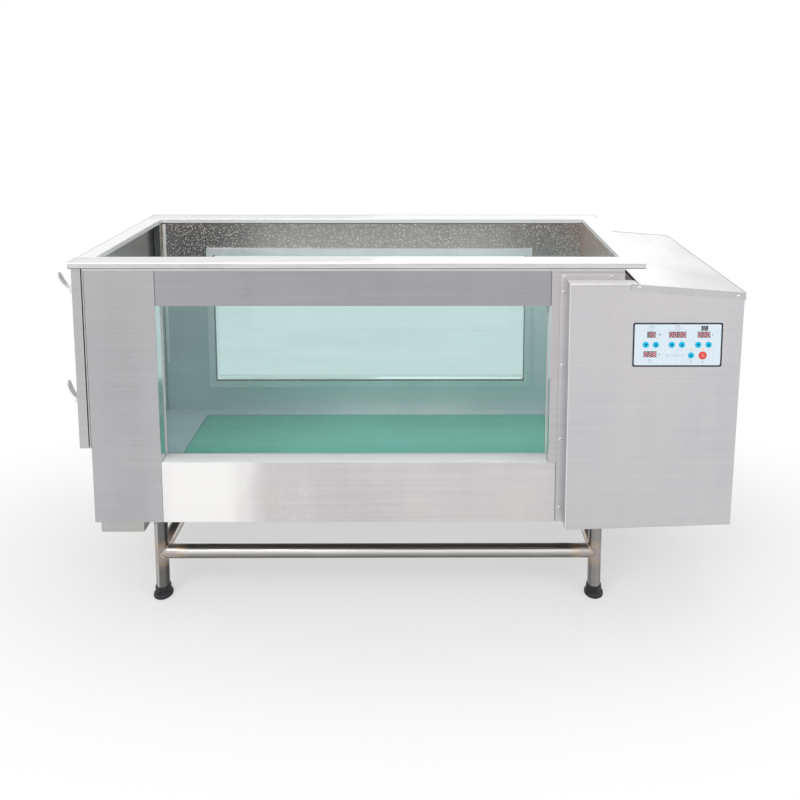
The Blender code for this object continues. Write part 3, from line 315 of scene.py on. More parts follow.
@dataclass(frozen=True)
class Finish:
    """What every finish has."""

    name: str
    colour: Triple
    roughness: float
    slot: Slot = Slot.BRUSHED_STEEL

    def material(self) -> bpy.types.Material:
        """Makes the material, or finds the one made before.

        Returns:
            The material.
        """
        material = bpy.data.materials.get(self.name)
        if not material:
            material = bpy.data.materials.new(self.name)
            material.use_nodes = True
            graph = NodeGraph(material.node_tree)
            shader = material.node_tree.nodes["Principled BSDF"]
            for socket, value in self.paint(graph).items():
                graph.feed(shader.inputs[socket], value)
        return material

    def paint(self, graph: NodeGraph) -> dict[str, Any]:
        """Says what each of the shader's sockets gets."""
        raise NotImplementedError(self.name)


@dataclass(frozen=True)
class BrushedSheet(Finish):
    """Stainless sheet with brush lines, cleaning smears and fine scuffing, and where set, painted
    light and shade.
    """

    roughness: float = 0.30
    grain: Grain = Grain.LEVEL
    warmth: float = 0.4
    metal: float = 1.0
    painted_side_shade: float = 1.0
    painted_top_light: float = 1.0
    satin_top: float = 0.0
    painted_cap_level: float = 0.0
    painted_highlight: Optional[Pair] = None
    painted_reveal_highlight: float = 0.0
    lined: bool = False
    splashed: float = 0.0

    def paint(self, graph: NodeGraph) -> dict[str, Any]:
        """Lays every mark of the sheet, and its painted light and shade, over its brushed ground.

        Args:
            graph: The material's graph.

        Returns:
            What each of the shader's sockets gets.
        """
        across, along, up = self.grain.value
        lines = graph.noise(self.grain.value)
        coarse = graph.noise((across * 0.5, along * 0.5, up * 0.2), 2.0, 0.5)
        smears = graph.noise((9.0, 9.0, 1.6), 3.0, 0.55)
        clouds = graph.noise(2.6, 3.0, 0.55)
        tone = 0.5 + lines.sway(0.55) + coarse.sway(0.5) + smears.sway(0.75) + clouds.sway(0.8)
        coat = Coat(graph, graph.shades(tone, self.colour, 0.84, 1.15), self.roughness
                    + lines.sway(0.12) + smears.sway(0.10) + clouds.sway(0.06), self.metal)
        red, green, blue = self.colour
        high = graph.axis("Z").eased(0.55, 1.02)
        coat.lay(clouds.eased(0.35, 0.75) * 0.5 + high * 0.5,
                 (red * 1.02, green * 0.955, blue * 0.88), self.warmth)
        # Painted shade: faces that don't look up are darkened by this factor.
        if self.painted_side_shade != 1.0:
            coat.lay(graph.facing("Z").eased(0.85, 0.45), (self.painted_side_shade,) * 3,
                     blend="MULTIPLY")
        # Painted light: the sheet grows lighter towards the top.
        if self.painted_top_light != 1.0:
            coat.lay(graph.axis("Z").eased(0.25, 1.0), (self.painted_top_light,) * 3, blend="MULTIPLY")
        # Painted highlight: a near-white patch on the lower panel.
        if self.painted_highlight:
            self._paint_highlight(coat, smears, clouds)
        # Painted highlight: the window opening's reveals are painted near white and smoother.
        if self.painted_reveal_highlight:
            cut = abs(graph.facing("Y")).eased(0.6, 0.3) * self.painted_reveal_highlight
            for axis, middle, half in WINDOW_OPENING:
                cut = cut * abs(graph.axis(axis) - middle).eased(half + 0.003, half + 0.002)
            coat.lay(cut, REVEAL_HIGHLIGHT_TONE, rough=-0.12)
        if self.lined:
            self._line(coat, clouds)
        # Painted light: above this level the door's cap is lighter and less metallic.
        if self.painted_cap_level:
            coat.lay(graph.axis("Z").eased(self.painted_cap_level, self.painted_cap_level + 0.0005), CAP_PAINTED_LIGHT,
                     metal=-0.75)
        if self.satin_top:
            coat.metallic = coat.metallic - graph.facing("Z").eased(0.6, 0.9) * self.satin_top
        return {"Base Color": coat.colour, "Metallic": coat.metallic,
                "Roughness": coat.roughness,
                "Normal": graph.bump(lines * 0.7 + coarse * 0.3, 0.00006, 0.5)}

    def _paint_highlight(self, coat: Coat, smears: Signal, clouds: Signal) -> None:
        """A painted highlight: a near-white patch that stands for a reflection, with dried runs
        beside it.

        Args:
            coat: The sheet's coat.
            smears: Its smears.
            clouds: Its clouds.
        """
        middle, half = self.painted_highlight
        off = abs(coat.graph.axis("X") - middle + smears.sway(0.13) + clouds.sway(0.16))
        coat.lay(off.eased(half * 1.75, half * 0.45), (0.98, 0.97, 0.955), 0.92)
        runs = (coat.graph.specks((190.0, 190.0, 62.0), 0.30)
                * (smears + clouds - 0.5).eased(0.44, 0.60)
                * abs(coat.graph.axis("X") - RUNS_MIDDLE).eased(0.27, 0.10))
        coat.lay(runs, (0.95, 0.95, 0.955), 0.45, rough=0.15)

    def _line(self, coat: Coat, clouds: Signal) -> None:
        """The tank's inside: painted shade above the usual water line and a lime film, lightened by
        paint, below it.

        Args:
            coat: The sheet's coat.
            clouds: Its clouds.
        """
        x, y, z = (coat.graph.axis(name) for name in "XYZ")
        inside = (abs(y - INSIDE_MIDDLE).eased(INSIDE_HALF + 0.002, INSIDE_HALF)
                  * x.eased(INSIDE_LEFT - 0.005, INSIDE_LEFT - 0.003)
                  * z.eased(INSIDE_FLOOR - 0.0023, INSIDE_FLOOR - 0.0017))
        # Painted shade: above the water line the inside is made warmer and a little darker.
        above_water = inside * (z + clouds.sway(0.012)).eased(*WATER_LINE)
        coat.lay(above_water, ABOVE_WATER_SHADE, blend="MULTIPLY")
        # Below it a lime film painted near white, painted light, and darker towards the left end,
        # painted shade.
        lime_film_and_shade = coat.graph.mix(clouds * 0.6 + x.eased(-0.62, -0.15) * 0.4, LIME_LEFT_PAINTED_SHADE, LIME_FILM_PAINTED_LIGHT)
        coat.lay(inside - above_water, lime_film_and_shade, rough=0.18, metal=-0.6)
        if self.splashed:
            drops = coat.graph.specks(152.0, 0.30, 0.2) * clouds.eased(0.18, 0.42) * above_water
            coat.lay(drops, DROP_TONE, self.splashed, rough=0.25, metal=-0.8)


@dataclass(frozen=True)
class PolishedTube(Finish):
    """Bright tube and bar stock with streaks from its drawing, painted reflections round it and
    heat tint near its welds.
    """

    slot: Slot = Slot.POLISHED_STEEL
    streak: Union[float, Triple] = 400.0
    tint_axis: str = "Z"
    tint_at: tuple[float, ...] = ()
    tint_reach: float = 0.05
    painted_band_axis: str = "Z"
    painted_light_bands: tuple[Pair, ...] = ()
    painted_light_side: str = ""

    def paint(self, graph: NodeGraph) -> dict[str, Any]:
        """Draws the streaks, painted reflections and shade round the tube, the tint at its welds
        and a painted light side.

        Args:
            graph: The material's graph.

        Returns:
            What each of the shader's sockets gets.
        """
        streaks, clouds = graph.noise(self.streak), graph.noise(7.0)
        coat = Coat(graph, graph.shades(0.5 + streaks.sway(1.1) + clouds.sway(0.7), self.colour,
                                        0.78, 1.14),
                    self.roughness + streaks.sway(0.10) + clouds.sway(0.08), 1.0)
        # Painted reflections and shade: tones by the way the surface faces.
        if self.painted_light_bands:
            around = graph.facing(self.painted_band_axis) * 0.5 + 0.5 + clouds.sway(0.06)
            painted_bands = graph.read("ShaderNodeValToRGB", {"stops": self.painted_light_bands}, {0: around})
            coat.colour = graph.mix(1.0, coat.colour, painted_bands, "MULTIPLY")
        for place in self.tint_at:
            near = abs(graph.axis(self.tint_axis) - place + clouds.sway(0.02))
            reach = self.tint_reach
            coat.lay(near.eased(reach, reach * 0.35), (0.56, 0.40, 0.24), 0.45)
            coat.lay(near.eased(reach * 0.5, reach * 0.38), (0.30, 0.33, 0.42), 0.35)
        # Painted light: faces that look this way are made light and less metallic.
        if self.painted_light_side:
            coat.lay(graph.facing(self.painted_light_side).eased(-0.5, -0.9), (0.93, 0.93, 0.935),
                     metal=-0.85)
        return {"Base Color": coat.colour, "Metallic": coat.metallic,
                "Roughness": coat.roughness, "Normal": graph.bump(streaks, 0.00004, 0.5)}


@dataclass(frozen=True)
class WeldBead(Finish):
    """A weld left as it came, straw and blue from its heat."""

    slot: Slot = Slot.POLISHED_STEEL

    def paint(self, graph: NodeGraph) -> dict[str, Any]:
        """Tints the bead in patches.

        Args:
            graph: The material's graph.

        Returns:
            What each of the shader's sockets gets.
        """
        clouds, ripple = graph.noise(55.0), graph.noise(420.0, 2.0, 0.5)
        straw = graph.mix(clouds.eased(0.35, 0.6), self.colour, (0.50, 0.37, 0.25))
        return {"Base Color": graph.mix(clouds.eased(0.58, 0.75) * 0.6, straw,
                                        (0.25, 0.27, 0.38)),
                "Metallic": 1.0, "Roughness": self.roughness + ripple.sway(0.25),
                "Normal": graph.bump(ripple, 0.0003, 0.6)}


@dataclass(frozen=True)
class TintedGlass(Finish):
    """Toughened glass with a green tint and faint wipe marks."""

    slot: Slot = Slot.GLASS

    def paint(self, graph: NodeGraph) -> dict[str, Any]:
        """Wipes the pane, darkens its cut edges and leaves a few drops on it.

        Args:
            graph: The material's graph.

        Returns:
            What each of the shader's sockets gets.
        """
        wipes, clouds = graph.noise((3.0, 3.0, 22.0), 4.0, 0.65), graph.noise(4.0)
        drops = graph.specks(95.0, 0.14) * clouds.eased(0.45, 0.62)
        pane = graph.shades(wipes.eased(0.3, 0.8) * 0.35, self.colour, 1.0, 1.12)
        edge = (abs(graph.facing("X")) + abs(graph.facing("Z"))).eased(0.5, 0.9)
        return {"Base Color": graph.mix(edge, pane, (0.40, 0.62, 0.59)),
                "Transmission Weight": 1.0, "IOR": 1.5,
                "Roughness": self.roughness + wipes.eased(0.45, 0.95) * 0.05 + drops * 0.12,
                "Normal": graph.bump(drops, 0.0003, 0.35)}


@dataclass(frozen=True)
class MouldedRubber(Finish):
    """Moulded rubber, dusty on its raised parts."""

    slot: Slot = Slot.BLACK_RUBBER
    dust: Triple = (0.16, 0.15, 0.14)

    def paint(self, graph: NodeGraph) -> dict[str, Any]:
        """Settles dust on the rubber.

        Args:
            graph: The material's graph.

        Returns:
            What each of the shader's sockets gets.
        """
        pores = graph.noise(900.0, 2.0)
        dusty = graph.noise(38.0, 4.0).eased(0.45, 0.85) * 0.35
        settled = graph.facing("Z").eased(0.3, 1.0) * 0.21
        return {"Base Color": graph.mix(dusty + settled, self.colour, self.dust),
                "Roughness": self.roughness + pores.sway(0.2) + dusty * 0.3,
                "Specular IOR Level": 0.35, "Normal": graph.bump(pores, 0.0002, 0.4)}


@dataclass(frozen=True)
class WalkingWeb(Finish):
    """Green belt web with a fine gripping weave, trodden lighter down the middle and painted
    lighter away from its left end.
    """

    slot: Slot = Slot.GREEN_BELT
    worn_and_lit: Triple = (0.22, 0.68, 0.54)
    pitch: float = 0.0035

    def paint(self, graph: NodeGraph) -> dict[str, Any]:
        """Weaves the web, lightens it where it is trodden and paints it lighter away from its left
        end.

        Args:
            graph: The material's graph.

        Returns:
            What each of the shader's sockets gets.
        """
        x, y = graph.axis("X"), graph.axis("Y")
        turn = 2.0 * math.pi / self.pitch
        weave = (x * turn).sine() * (y * turn).sine() * 0.5 + 0.5
        scuffs = graph.noise((2.5, 70.0, 30.0))
        # Tread marks down the middle, and painted light from the left end inwards.
        wear_and_painted_light = (abs(y).eased(0.20, 0.04) * 0.35 + x.eased(-0.62, -0.10) * 0.45
                + scuffs.sway(0.5) + graph.noise(5.0, 4.0).sway(0.6) + weave * 0.12)
        return {"Base Color": graph.mix(wear_and_painted_light + 0.25, shaded(self.colour, 0.82), self.worn_and_lit),
                "Roughness": self.roughness + scuffs.sway(0.2) - weave * 0.08,
                "Normal": graph.bump(weave, 0.0004, 0.5)}


@dataclass(frozen=True)
class BoardLaminate(Finish):
    """A dark slick board under the belt, scratched along its length."""

    slot: Slot = Slot.DECK_BOARD

    def paint(self, graph: NodeGraph) -> dict[str, Any]:
        """Scratches the board.

        Args:
            graph: The material's graph.

        Returns:
            What each of the shader's sockets gets.
        """
        scratches = graph.noise((3.0, 380.0, 380.0), 3.0, 0.7)
        mark = scratches.eased(0.58, 0.75) * 0.5 + graph.noise(9.0).eased(0.5, 0.9) * 0.3
        return {"Base Color": graph.shades(mark, self.colour, 1.0, 1.7),
                "Roughness": self.roughness + scratches.sway(0.2),
                "Normal": graph.bump(scratches, 0.0001, 0.4)}


@dataclass(frozen=True)
class Enamel(Finish):
    """Sprayed enamel with a slight orange peel."""

    slot: Slot = Slot.MOTOR_ENAMEL

    def paint(self, graph: NodeGraph) -> dict[str, Any]:
        """Clouds the enamel and chips it.

        Args:
            graph: The material's graph.

        Returns:
            What each of the shader's sockets gets.
        """
        clouds, chips = graph.noise(11.0, 4.0), graph.noise(75.0).eased(0.70, 0.74)
        return {"Base Color": graph.mix(chips * 0.6, graph.shades(clouds, self.colour, 0.85, 1.2),
                                        (0.35, 0.34, 0.33)),
                "Roughness": self.roughness + clouds.sway(0.15) + chips * 0.2,
                "Coat Weight": 0.3,
                "Normal": graph.bump(graph.noise(420.0, 2.0, 0.5), 0.0002, 0.35)}


@dataclass(frozen=True)
class CastMetal(Finish):
    """Cast and turned aluminium."""

    slot: Slot = Slot.CAST_ALUMINIUM

    def paint(self, graph: NodeGraph) -> dict[str, Any]:
        """Gives the metal its sandy skin.

        Args:
            graph: The material's graph.

        Returns:
            What each of the shader's sockets gets.
        """
        sand = graph.noise(650.0)
        mottle = graph.noise(24.0) * 0.6 + sand * 0.4
        return {"Base Color": graph.shades(mottle, self.colour, 0.8, 1.15), "Metallic": 1.0,
                "Roughness": self.roughness + sand.sway(0.2),
                "Normal": graph.bump(sand, 0.0002, 0.4)}


@dataclass(frozen=True)
class SatinPlastic(Finish):
    """Film, keys, prints and small moulded parts."""

    slot: Slot = Slot.PANEL_FILM
    mottle: float = 0.08
    glow: Optional[Triple] = None
    glow_strength: float = 0.0
    gloss_coat: float = 0.0
    sheen: float = 0.5

    def paint(self, graph: NodeGraph) -> dict[str, Any]:
        """Mottles the plastic and lights it where it glows.

        Args:
            graph: The material's graph.

        Returns:
            What each of the shader's sockets gets.
        """
        tooth, clouds = graph.noise(1400.0, 2.0, 0.5), graph.noise(60.0)
        sockets = {"Base Color": graph.shades(0.5 + clouds.sway(1.4) + tooth.sway(0.4),
                                              self.colour, 1.0 - self.mottle, 1.0 + self.mottle),
                   "Roughness": self.roughness + tooth.sway(0.12) + clouds.sway(0.10),
                   "Coat Weight": self.gloss_coat, "Specular IOR Level": self.sheen,
                   "Normal": graph.bump(tooth, 0.00005, 0.3)}
        if self.glow:
            sockets["Emission Color"] = graph.shades(clouds, self.glow, 0.9, 1.0)
            sockets["Emission Strength"] = self.glow_strength
        return sockets


INSIDE_MIDDLE = 0.013
INSIDE_HALF = 0.2545
INSIDE_LEFT = -0.8584
INSIDE_FLOOR = 0.2443
RUNS_MIDDLE = -0.27
WATER_LINE = (0.872, 0.882)
WINDOW_OPENING = (("X", -0.1224, 0.5550), ("Z", 0.6538, 0.2315))
# Painted light and shade inside the tank: the lime film's light, its darker left end and the shade
# above the water line.
LIME_FILM_PAINTED_LIGHT = (0.97, 0.99, 0.985)
LIME_LEFT_PAINTED_SHADE = (0.455, 0.595, 0.625)
ABOVE_WATER_SHADE = (1.03, 0.925, 0.885)
DROP_TONE = (0.97, 0.94, 0.90)
# The tone of the painted highlight on the window reveals.
REVEAL_HIGHLIGHT_TONE = (0.92, 0.925, 0.93)
# The tone of the painted light on the door's cap.
CAP_PAINTED_LIGHT = (0.84, 0.835, 0.84)
COLUMN_SHEET = BrushedSheet("column_sheet", (0.475, 0.472, 0.488), warmth=0.2, lined=True,
                            painted_reveal_highlight=0.9)
# Copies of the column sheet: darker on the header, painted shade, and lighter on the right column,
# painted light.
HEADER_PAINTED_SHADE_SHEET = replace(COLUMN_SHEET, name="header_painted_shade_sheet", colour=(0.395, 0.388, 0.412))
RIGHT_PAINTED_LIGHT_SHEET = replace(COLUMN_SHEET, name="right_column_painted_light_sheet", colour=(0.56, 0.54, 0.55),
                      warmth=0.3)
REAR_SHEET = replace(COLUMN_SHEET, name="rear_sheet", colour=(0.475, 0.468, 0.48), warmth=0.3,
                     splashed=0.9, painted_reveal_highlight=1.0)
# The lower panel's steel is painted lighter, as painted light, and carries a painted highlight
# patch.
LOWER_PAINTED_LIGHT_SHEET = BrushedSheet("lower_painted_light_sheet", (0.64, 0.62, 0.625), lined=True,
                           painted_highlight=(-0.565, 0.115))
LINING_SHEET = BrushedSheet("lining_sheet", (0.68, 0.645, 0.63), 0.34, warmth=0.3, lined=True,
                            splashed=0.9)
JAMB_SHEET = BrushedSheet("jamb_sheet", (0.50, 0.492, 0.50), warmth=0.25, lined=True,
                          splashed=0.9)
FRAME_SHEET = BrushedSheet("frame_sheet", (0.80, 0.85, 0.87), 0.34, grain=Grain.ALONG_X,
                           warmth=0.05, metal=0.35)
# The housing is painted lighter towards its top and darker on its sides: painted light and shade.
HOUSING_SHEET = BrushedSheet("housing_sheet", (0.893, 0.888, 0.955), 0.33, warmth=0.65,
                             painted_top_light=1.12, painted_side_shade=0.65, satin_top=0.85)
DOOR_SHEET = BrushedSheet("door_sheet", (0.52, 0.515, 0.525), warmth=0.25, painted_cap_level=0.9974)
TROUGH_SHEET = BrushedSheet("trough_sheet", (0.49, 0.478, 0.465))
# Painted light: the sills and the doorway's corner strips are near white.
SILL_PAINTED_LIGHT = BrushedSheet("sill_painted_light", (0.98, 0.985, 0.99), 0.35, grain=Grain.ALONG_X,
                          warmth=0.05, metal=0.0)
REAR_SILL_PAINTED_LIGHT = BrushedSheet("rear_sill_painted_light", (0.95, 0.95, 0.95), 0.16, grain=Grain.ALONG_X,
                               warmth=0.1)
# The lid's sides are darkened as painted shade.
LID_SHEET = BrushedSheet("lid_sheet", (0.765, 0.757, 0.765), grain=Grain.ALONG_Y, warmth=0.12,
                         painted_side_shade=0.78)
# The rim steel is painted lighter on top than on its sides and underside: painted light and shade.
RIM_STEEL = PolishedTube("rim_steel", (0.82, 0.815, 0.82), 0.24, streak=(4.0, 120.0, 120.0),
                         painted_light_bands=((0.55, 0.86), (0.9, 1.0)))
# The rims' inner faces are painted light.
REAR_RIM_STEEL = replace(RIM_STEEL, name="rear_rim_steel", painted_light_side="Y")
END_RIM_STEEL = replace(RIM_STEEL, name="end_rim_steel", painted_light_side="X")
FOLD_STEEL = PolishedTube("fold_steel", (0.64, 0.625, 0.61), 0.22, streak=(4.0, 200.0, 200.0))
BEND_STEEL = PolishedTube("bend_steel", (0.90, 0.885, 0.88), 0.30, Slot.BRUSHED_STEEL, 40.0)
# Painted reflections: a tube's tones from its left or lower side, at 0, to the other, at 1
LEFT_LEG_REFLECTIONS = ((0.15, 0.35), (0.3, 0.7), (0.45, 0.2), (0.8, 0.2), (1.0, 0.05))
RIGHT_LEG_REFLECTIONS = ((0.0, 0.35), (0.1, 0.2), (0.25, 0.35), (0.7, 0.4), (1.0, 0.15))
LEVEL_TUBE_REFLECTIONS = ((0.3, 0.15), (0.6, 0.5), (0.75, 0.95), (0.8, 0.85), (0.85, 0.1), (1.0, 0.1))
TUBE_STEEL = PolishedTube("tube_steel", (0.84, 0.815, 0.79), 0.20, streak=(260.0, 260.0, 4.0),
                          tint_at=(0.135,), painted_band_axis="X", painted_light_bands=LEFT_LEG_REFLECTIONS)
RIGHT_TUBE_STEEL = replace(TUBE_STEEL, name="right_tube_steel", painted_light_bands=RIGHT_LEG_REFLECTIONS)
LONG_TUBE_STEEL = PolishedTube("long_tube_steel", (0.90, 0.86, 0.825), 0.20,
                               streak=(4.0, 260.0, 260.0), tint_axis="X",
                               tint_at=(-0.676, 0.561), tint_reach=0.07, painted_light_bands=LEVEL_TUBE_REFLECTIONS)
SIDE_TUBE_STEEL = PolishedTube("side_tube_steel", (0.85, 0.81, 0.775), 0.20,
                               streak=(260.0, 4.0, 260.0), tint_axis="Y",
                               tint_at=(-0.243, 0.270), tint_reach=0.06, painted_light_bands=LEVEL_TUBE_REFLECTIONS)
CHROME = PolishedTube("chrome_fitting", (0.84, 0.83, 0.83), 0.12, streak=60.0)
HINGE_STEEL = PolishedTube("hinge_steel", (0.62, 0.61, 0.61), 0.30, streak=(200.0, 200.0, 5.0))
SCREW_STEEL = PolishedTube("screw_steel", (0.82, 0.81, 0.80), 0.22)
# Dark steel for joints and the lid's gap strip, and painted shade along outer edges.
DARK_STEEL_AND_EDGE_SHADE = PolishedTube("dark_steel_and_edge_shade", (0.24, 0.235, 0.23), 0.4, streak=(4.0, 200.0, 200.0))
# Painted shade: dark steel for screw recesses and the gap under the rim.
PAINTED_SHADE_STEEL = PolishedTube("painted_shade_steel", (0.16, 0.155, 0.15), 0.5)
ROLLER_STEEL = PolishedTube("roller_steel", (0.66, 0.65, 0.64), 0.16,
                            streak=(260.0, 4.0, 260.0))
WELD = WeldBead("weld_bead", (0.58, 0.55, 0.52), 0.36)
GLASS = TintedGlass("tinted_glass", (0.71, 0.825, 0.815), 0.015)
SILICONE = SatinPlastic("clear_sealant", (0.52, 0.56, 0.56), 0.35, Slot.GREY_RUBBER)
FOOT_RUBBER = MouldedRubber("foot_rubber", (0.014, 0.016, 0.02), 0.6)
BELT_RUBBER = MouldedRubber("belt_rubber", (0.018, 0.018, 0.02), 0.7)
GLAND_NYLON = MouldedRubber("gland_nylon", (0.02, 0.021, 0.024), 0.45)
SEAL_RUBBER = MouldedRubber("seal_rubber", (0.10, 0.10, 0.105), 0.65, Slot.GREY_RUBBER,
                            (0.24, 0.23, 0.22))
BELT_WEB = WalkingWeb("belt_web", (0.10, 0.50, 0.36), 0.55)
DECK = BoardLaminate("deck_laminate", (0.14, 0.14, 0.15), 0.45)
MOTOR_PAINT = Enamel("motor_paint", (0.07, 0.13, 0.20), 0.38)
PULLEY_METAL = CastMetal("pulley_metal", (0.55, 0.56, 0.57), 0.42)
FILM = SatinPlastic("keypad_film", (0.76, 0.87, 0.96), 0.36, mottle=0.03)
PRINT_BLACK = SatinPlastic("keypad_print", (0.010, 0.013, 0.020), 0.42, mottle=0.2)
PRINT_GREY = SatinPlastic("keypad_print_grey", (0.25, 0.33, 0.40), 0.38, mottle=0.1)
LED_ORANGE = SatinPlastic("led_orange", (0.96, 0.40, 0.03), 0.3, mottle=0.05,
                          glow=(1.0, 0.42, 0.03), glow_strength=0.30)
LENS = SatinPlastic("display_lens", (0.125, 0.095, 0.115), 0.14, Slot.DISPLAY_BLACK, 0.15,
                    gloss_coat=0.4)
BOARD = SatinPlastic("circuit_board", (0.03, 0.09, 0.05), 0.4, Slot.DISPLAY_BLACK, 0.2)
LIT_SEGMENT = SatinPlastic("lit_segment", (0.86, 0.33, 0.38), 0.3, Slot.DISPLAY_BLACK, 0.05,
                           (1.0, 0.34, 0.40), 0.42)
DIM_SEGMENT = SatinPlastic("dim_segment", (0.38, 0.28, 0.31), 0.3, Slot.DISPLAY_BLACK, 0.05)
BLUE_KEY = SatinPlastic("blue_key_cap", (0.0, 0.56, 0.86), 0.38, Slot.BLUE_KEY, 0.06, sheen=0.2)
KEY_MARK = SatinPlastic("key_mark", (0.006, 0.05, 0.11), 0.4, Slot.BLUE_KEY, 0.15)
RED_KEY = SatinPlastic("red_key_cap", (0.81, 0.070, 0.062), 0.32, Slot.RED_KEY)
STOP_MARK = SatinPlastic("stop_mark", (0.90, 0.25, 0.21), 0.4, Slot.RED_KEY, 0.05)


# Mesh building


def arc(start: float, end: float, steps: int) -> list[Pair]:
    """The cosines and sines from one angle in degrees to another, both included."""
    turns = [math.radians(start + (end - start) * k / steps) for k in range(steps + 1)]
    return [(math.cos(turn), math.sin(turn)) for turn in turns]


def spokes(count: int) -> list[Pair]:
    """The cosines and sines of equal steps once round."""
    return arc(0.0, 360.0, count)[:-1]


def circle(centre: Pair, radius: float, sides: int = 32) -> list[Pair]:
    """A circle's points, counterclockwise."""
    return [(centre[0] + radius * c, centre[1] + radius * s) for c, s in spokes(sides)]


def ring_section(radius: float, sides: int = 12) -> Section:
    """A round section for a swept tube, the same all along it."""
    points = circle((0.0, 0.0), radius, sides)
    return lambda share: points


def rounded(centre: Pair, width: float, height: float, radius: float,
            steps: int = 6) -> list[Pair]:
    """A rectangle with round corners.

    Args:
        centre: Its centre.
        width: Its width.
        height: Its height.
        radius: The corners' radius.
        steps: Steps in each corner.

    Returns:
        Its points, counterclockwise.
    """
    points = []
    for turn, (right, up) in enumerate(((1, 1), (-1, 1), (-1, -1), (1, -1))):
        x = centre[0] + right * (width / 2 - radius)
        z = centre[1] + up * (height / 2 - radius)
        points += [(x + radius * c, z + radius * s)
                   for c, s in arc(90.0 * turn, 90.0 * turn + 90.0, steps)]
    return points


def rectangle(across: Pair, up: Pair, margin: float = 0.0) -> list[Pair]:
    """A rectangle's corners.

    Args:
        across: Its ends along the first axis.
        up: Its ends along the second axis.
        margin: How far it grows on every side.

    Returns:
        The four corners, counterclockwise.
    """
    left, right = across[0] - margin, across[1] + margin
    bottom, top = up[0] - margin, up[1] + margin
    return [(left, bottom), (right, bottom), (right, top), (left, top)]


def lifted(pair: Pair, level: float, axis: str) -> Vector:
    """A point of the plane that crosses the X, Y or Z axis at a level."""
    a, b = pair
    return Vector({"X": (level, a, b), "Y": (a, level, b), "Z": (a, b, level)}[axis])


def middle(node: str) -> Vector:
    """The centre of a CAD node's box."""
    low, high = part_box(node)
    return (low + high) / 2


def linked(name: str, data: Any) -> bpy.types.Object:
    """Puts a mesh, a lamp or a camera in the scene.

    Args:
        name: The object's name.
        data: What it shows.

    Returns:
        The object.
    """
    obj = bpy.data.objects.new(name, data)
    bpy.context.scene.collection.objects.link(obj)
    return obj


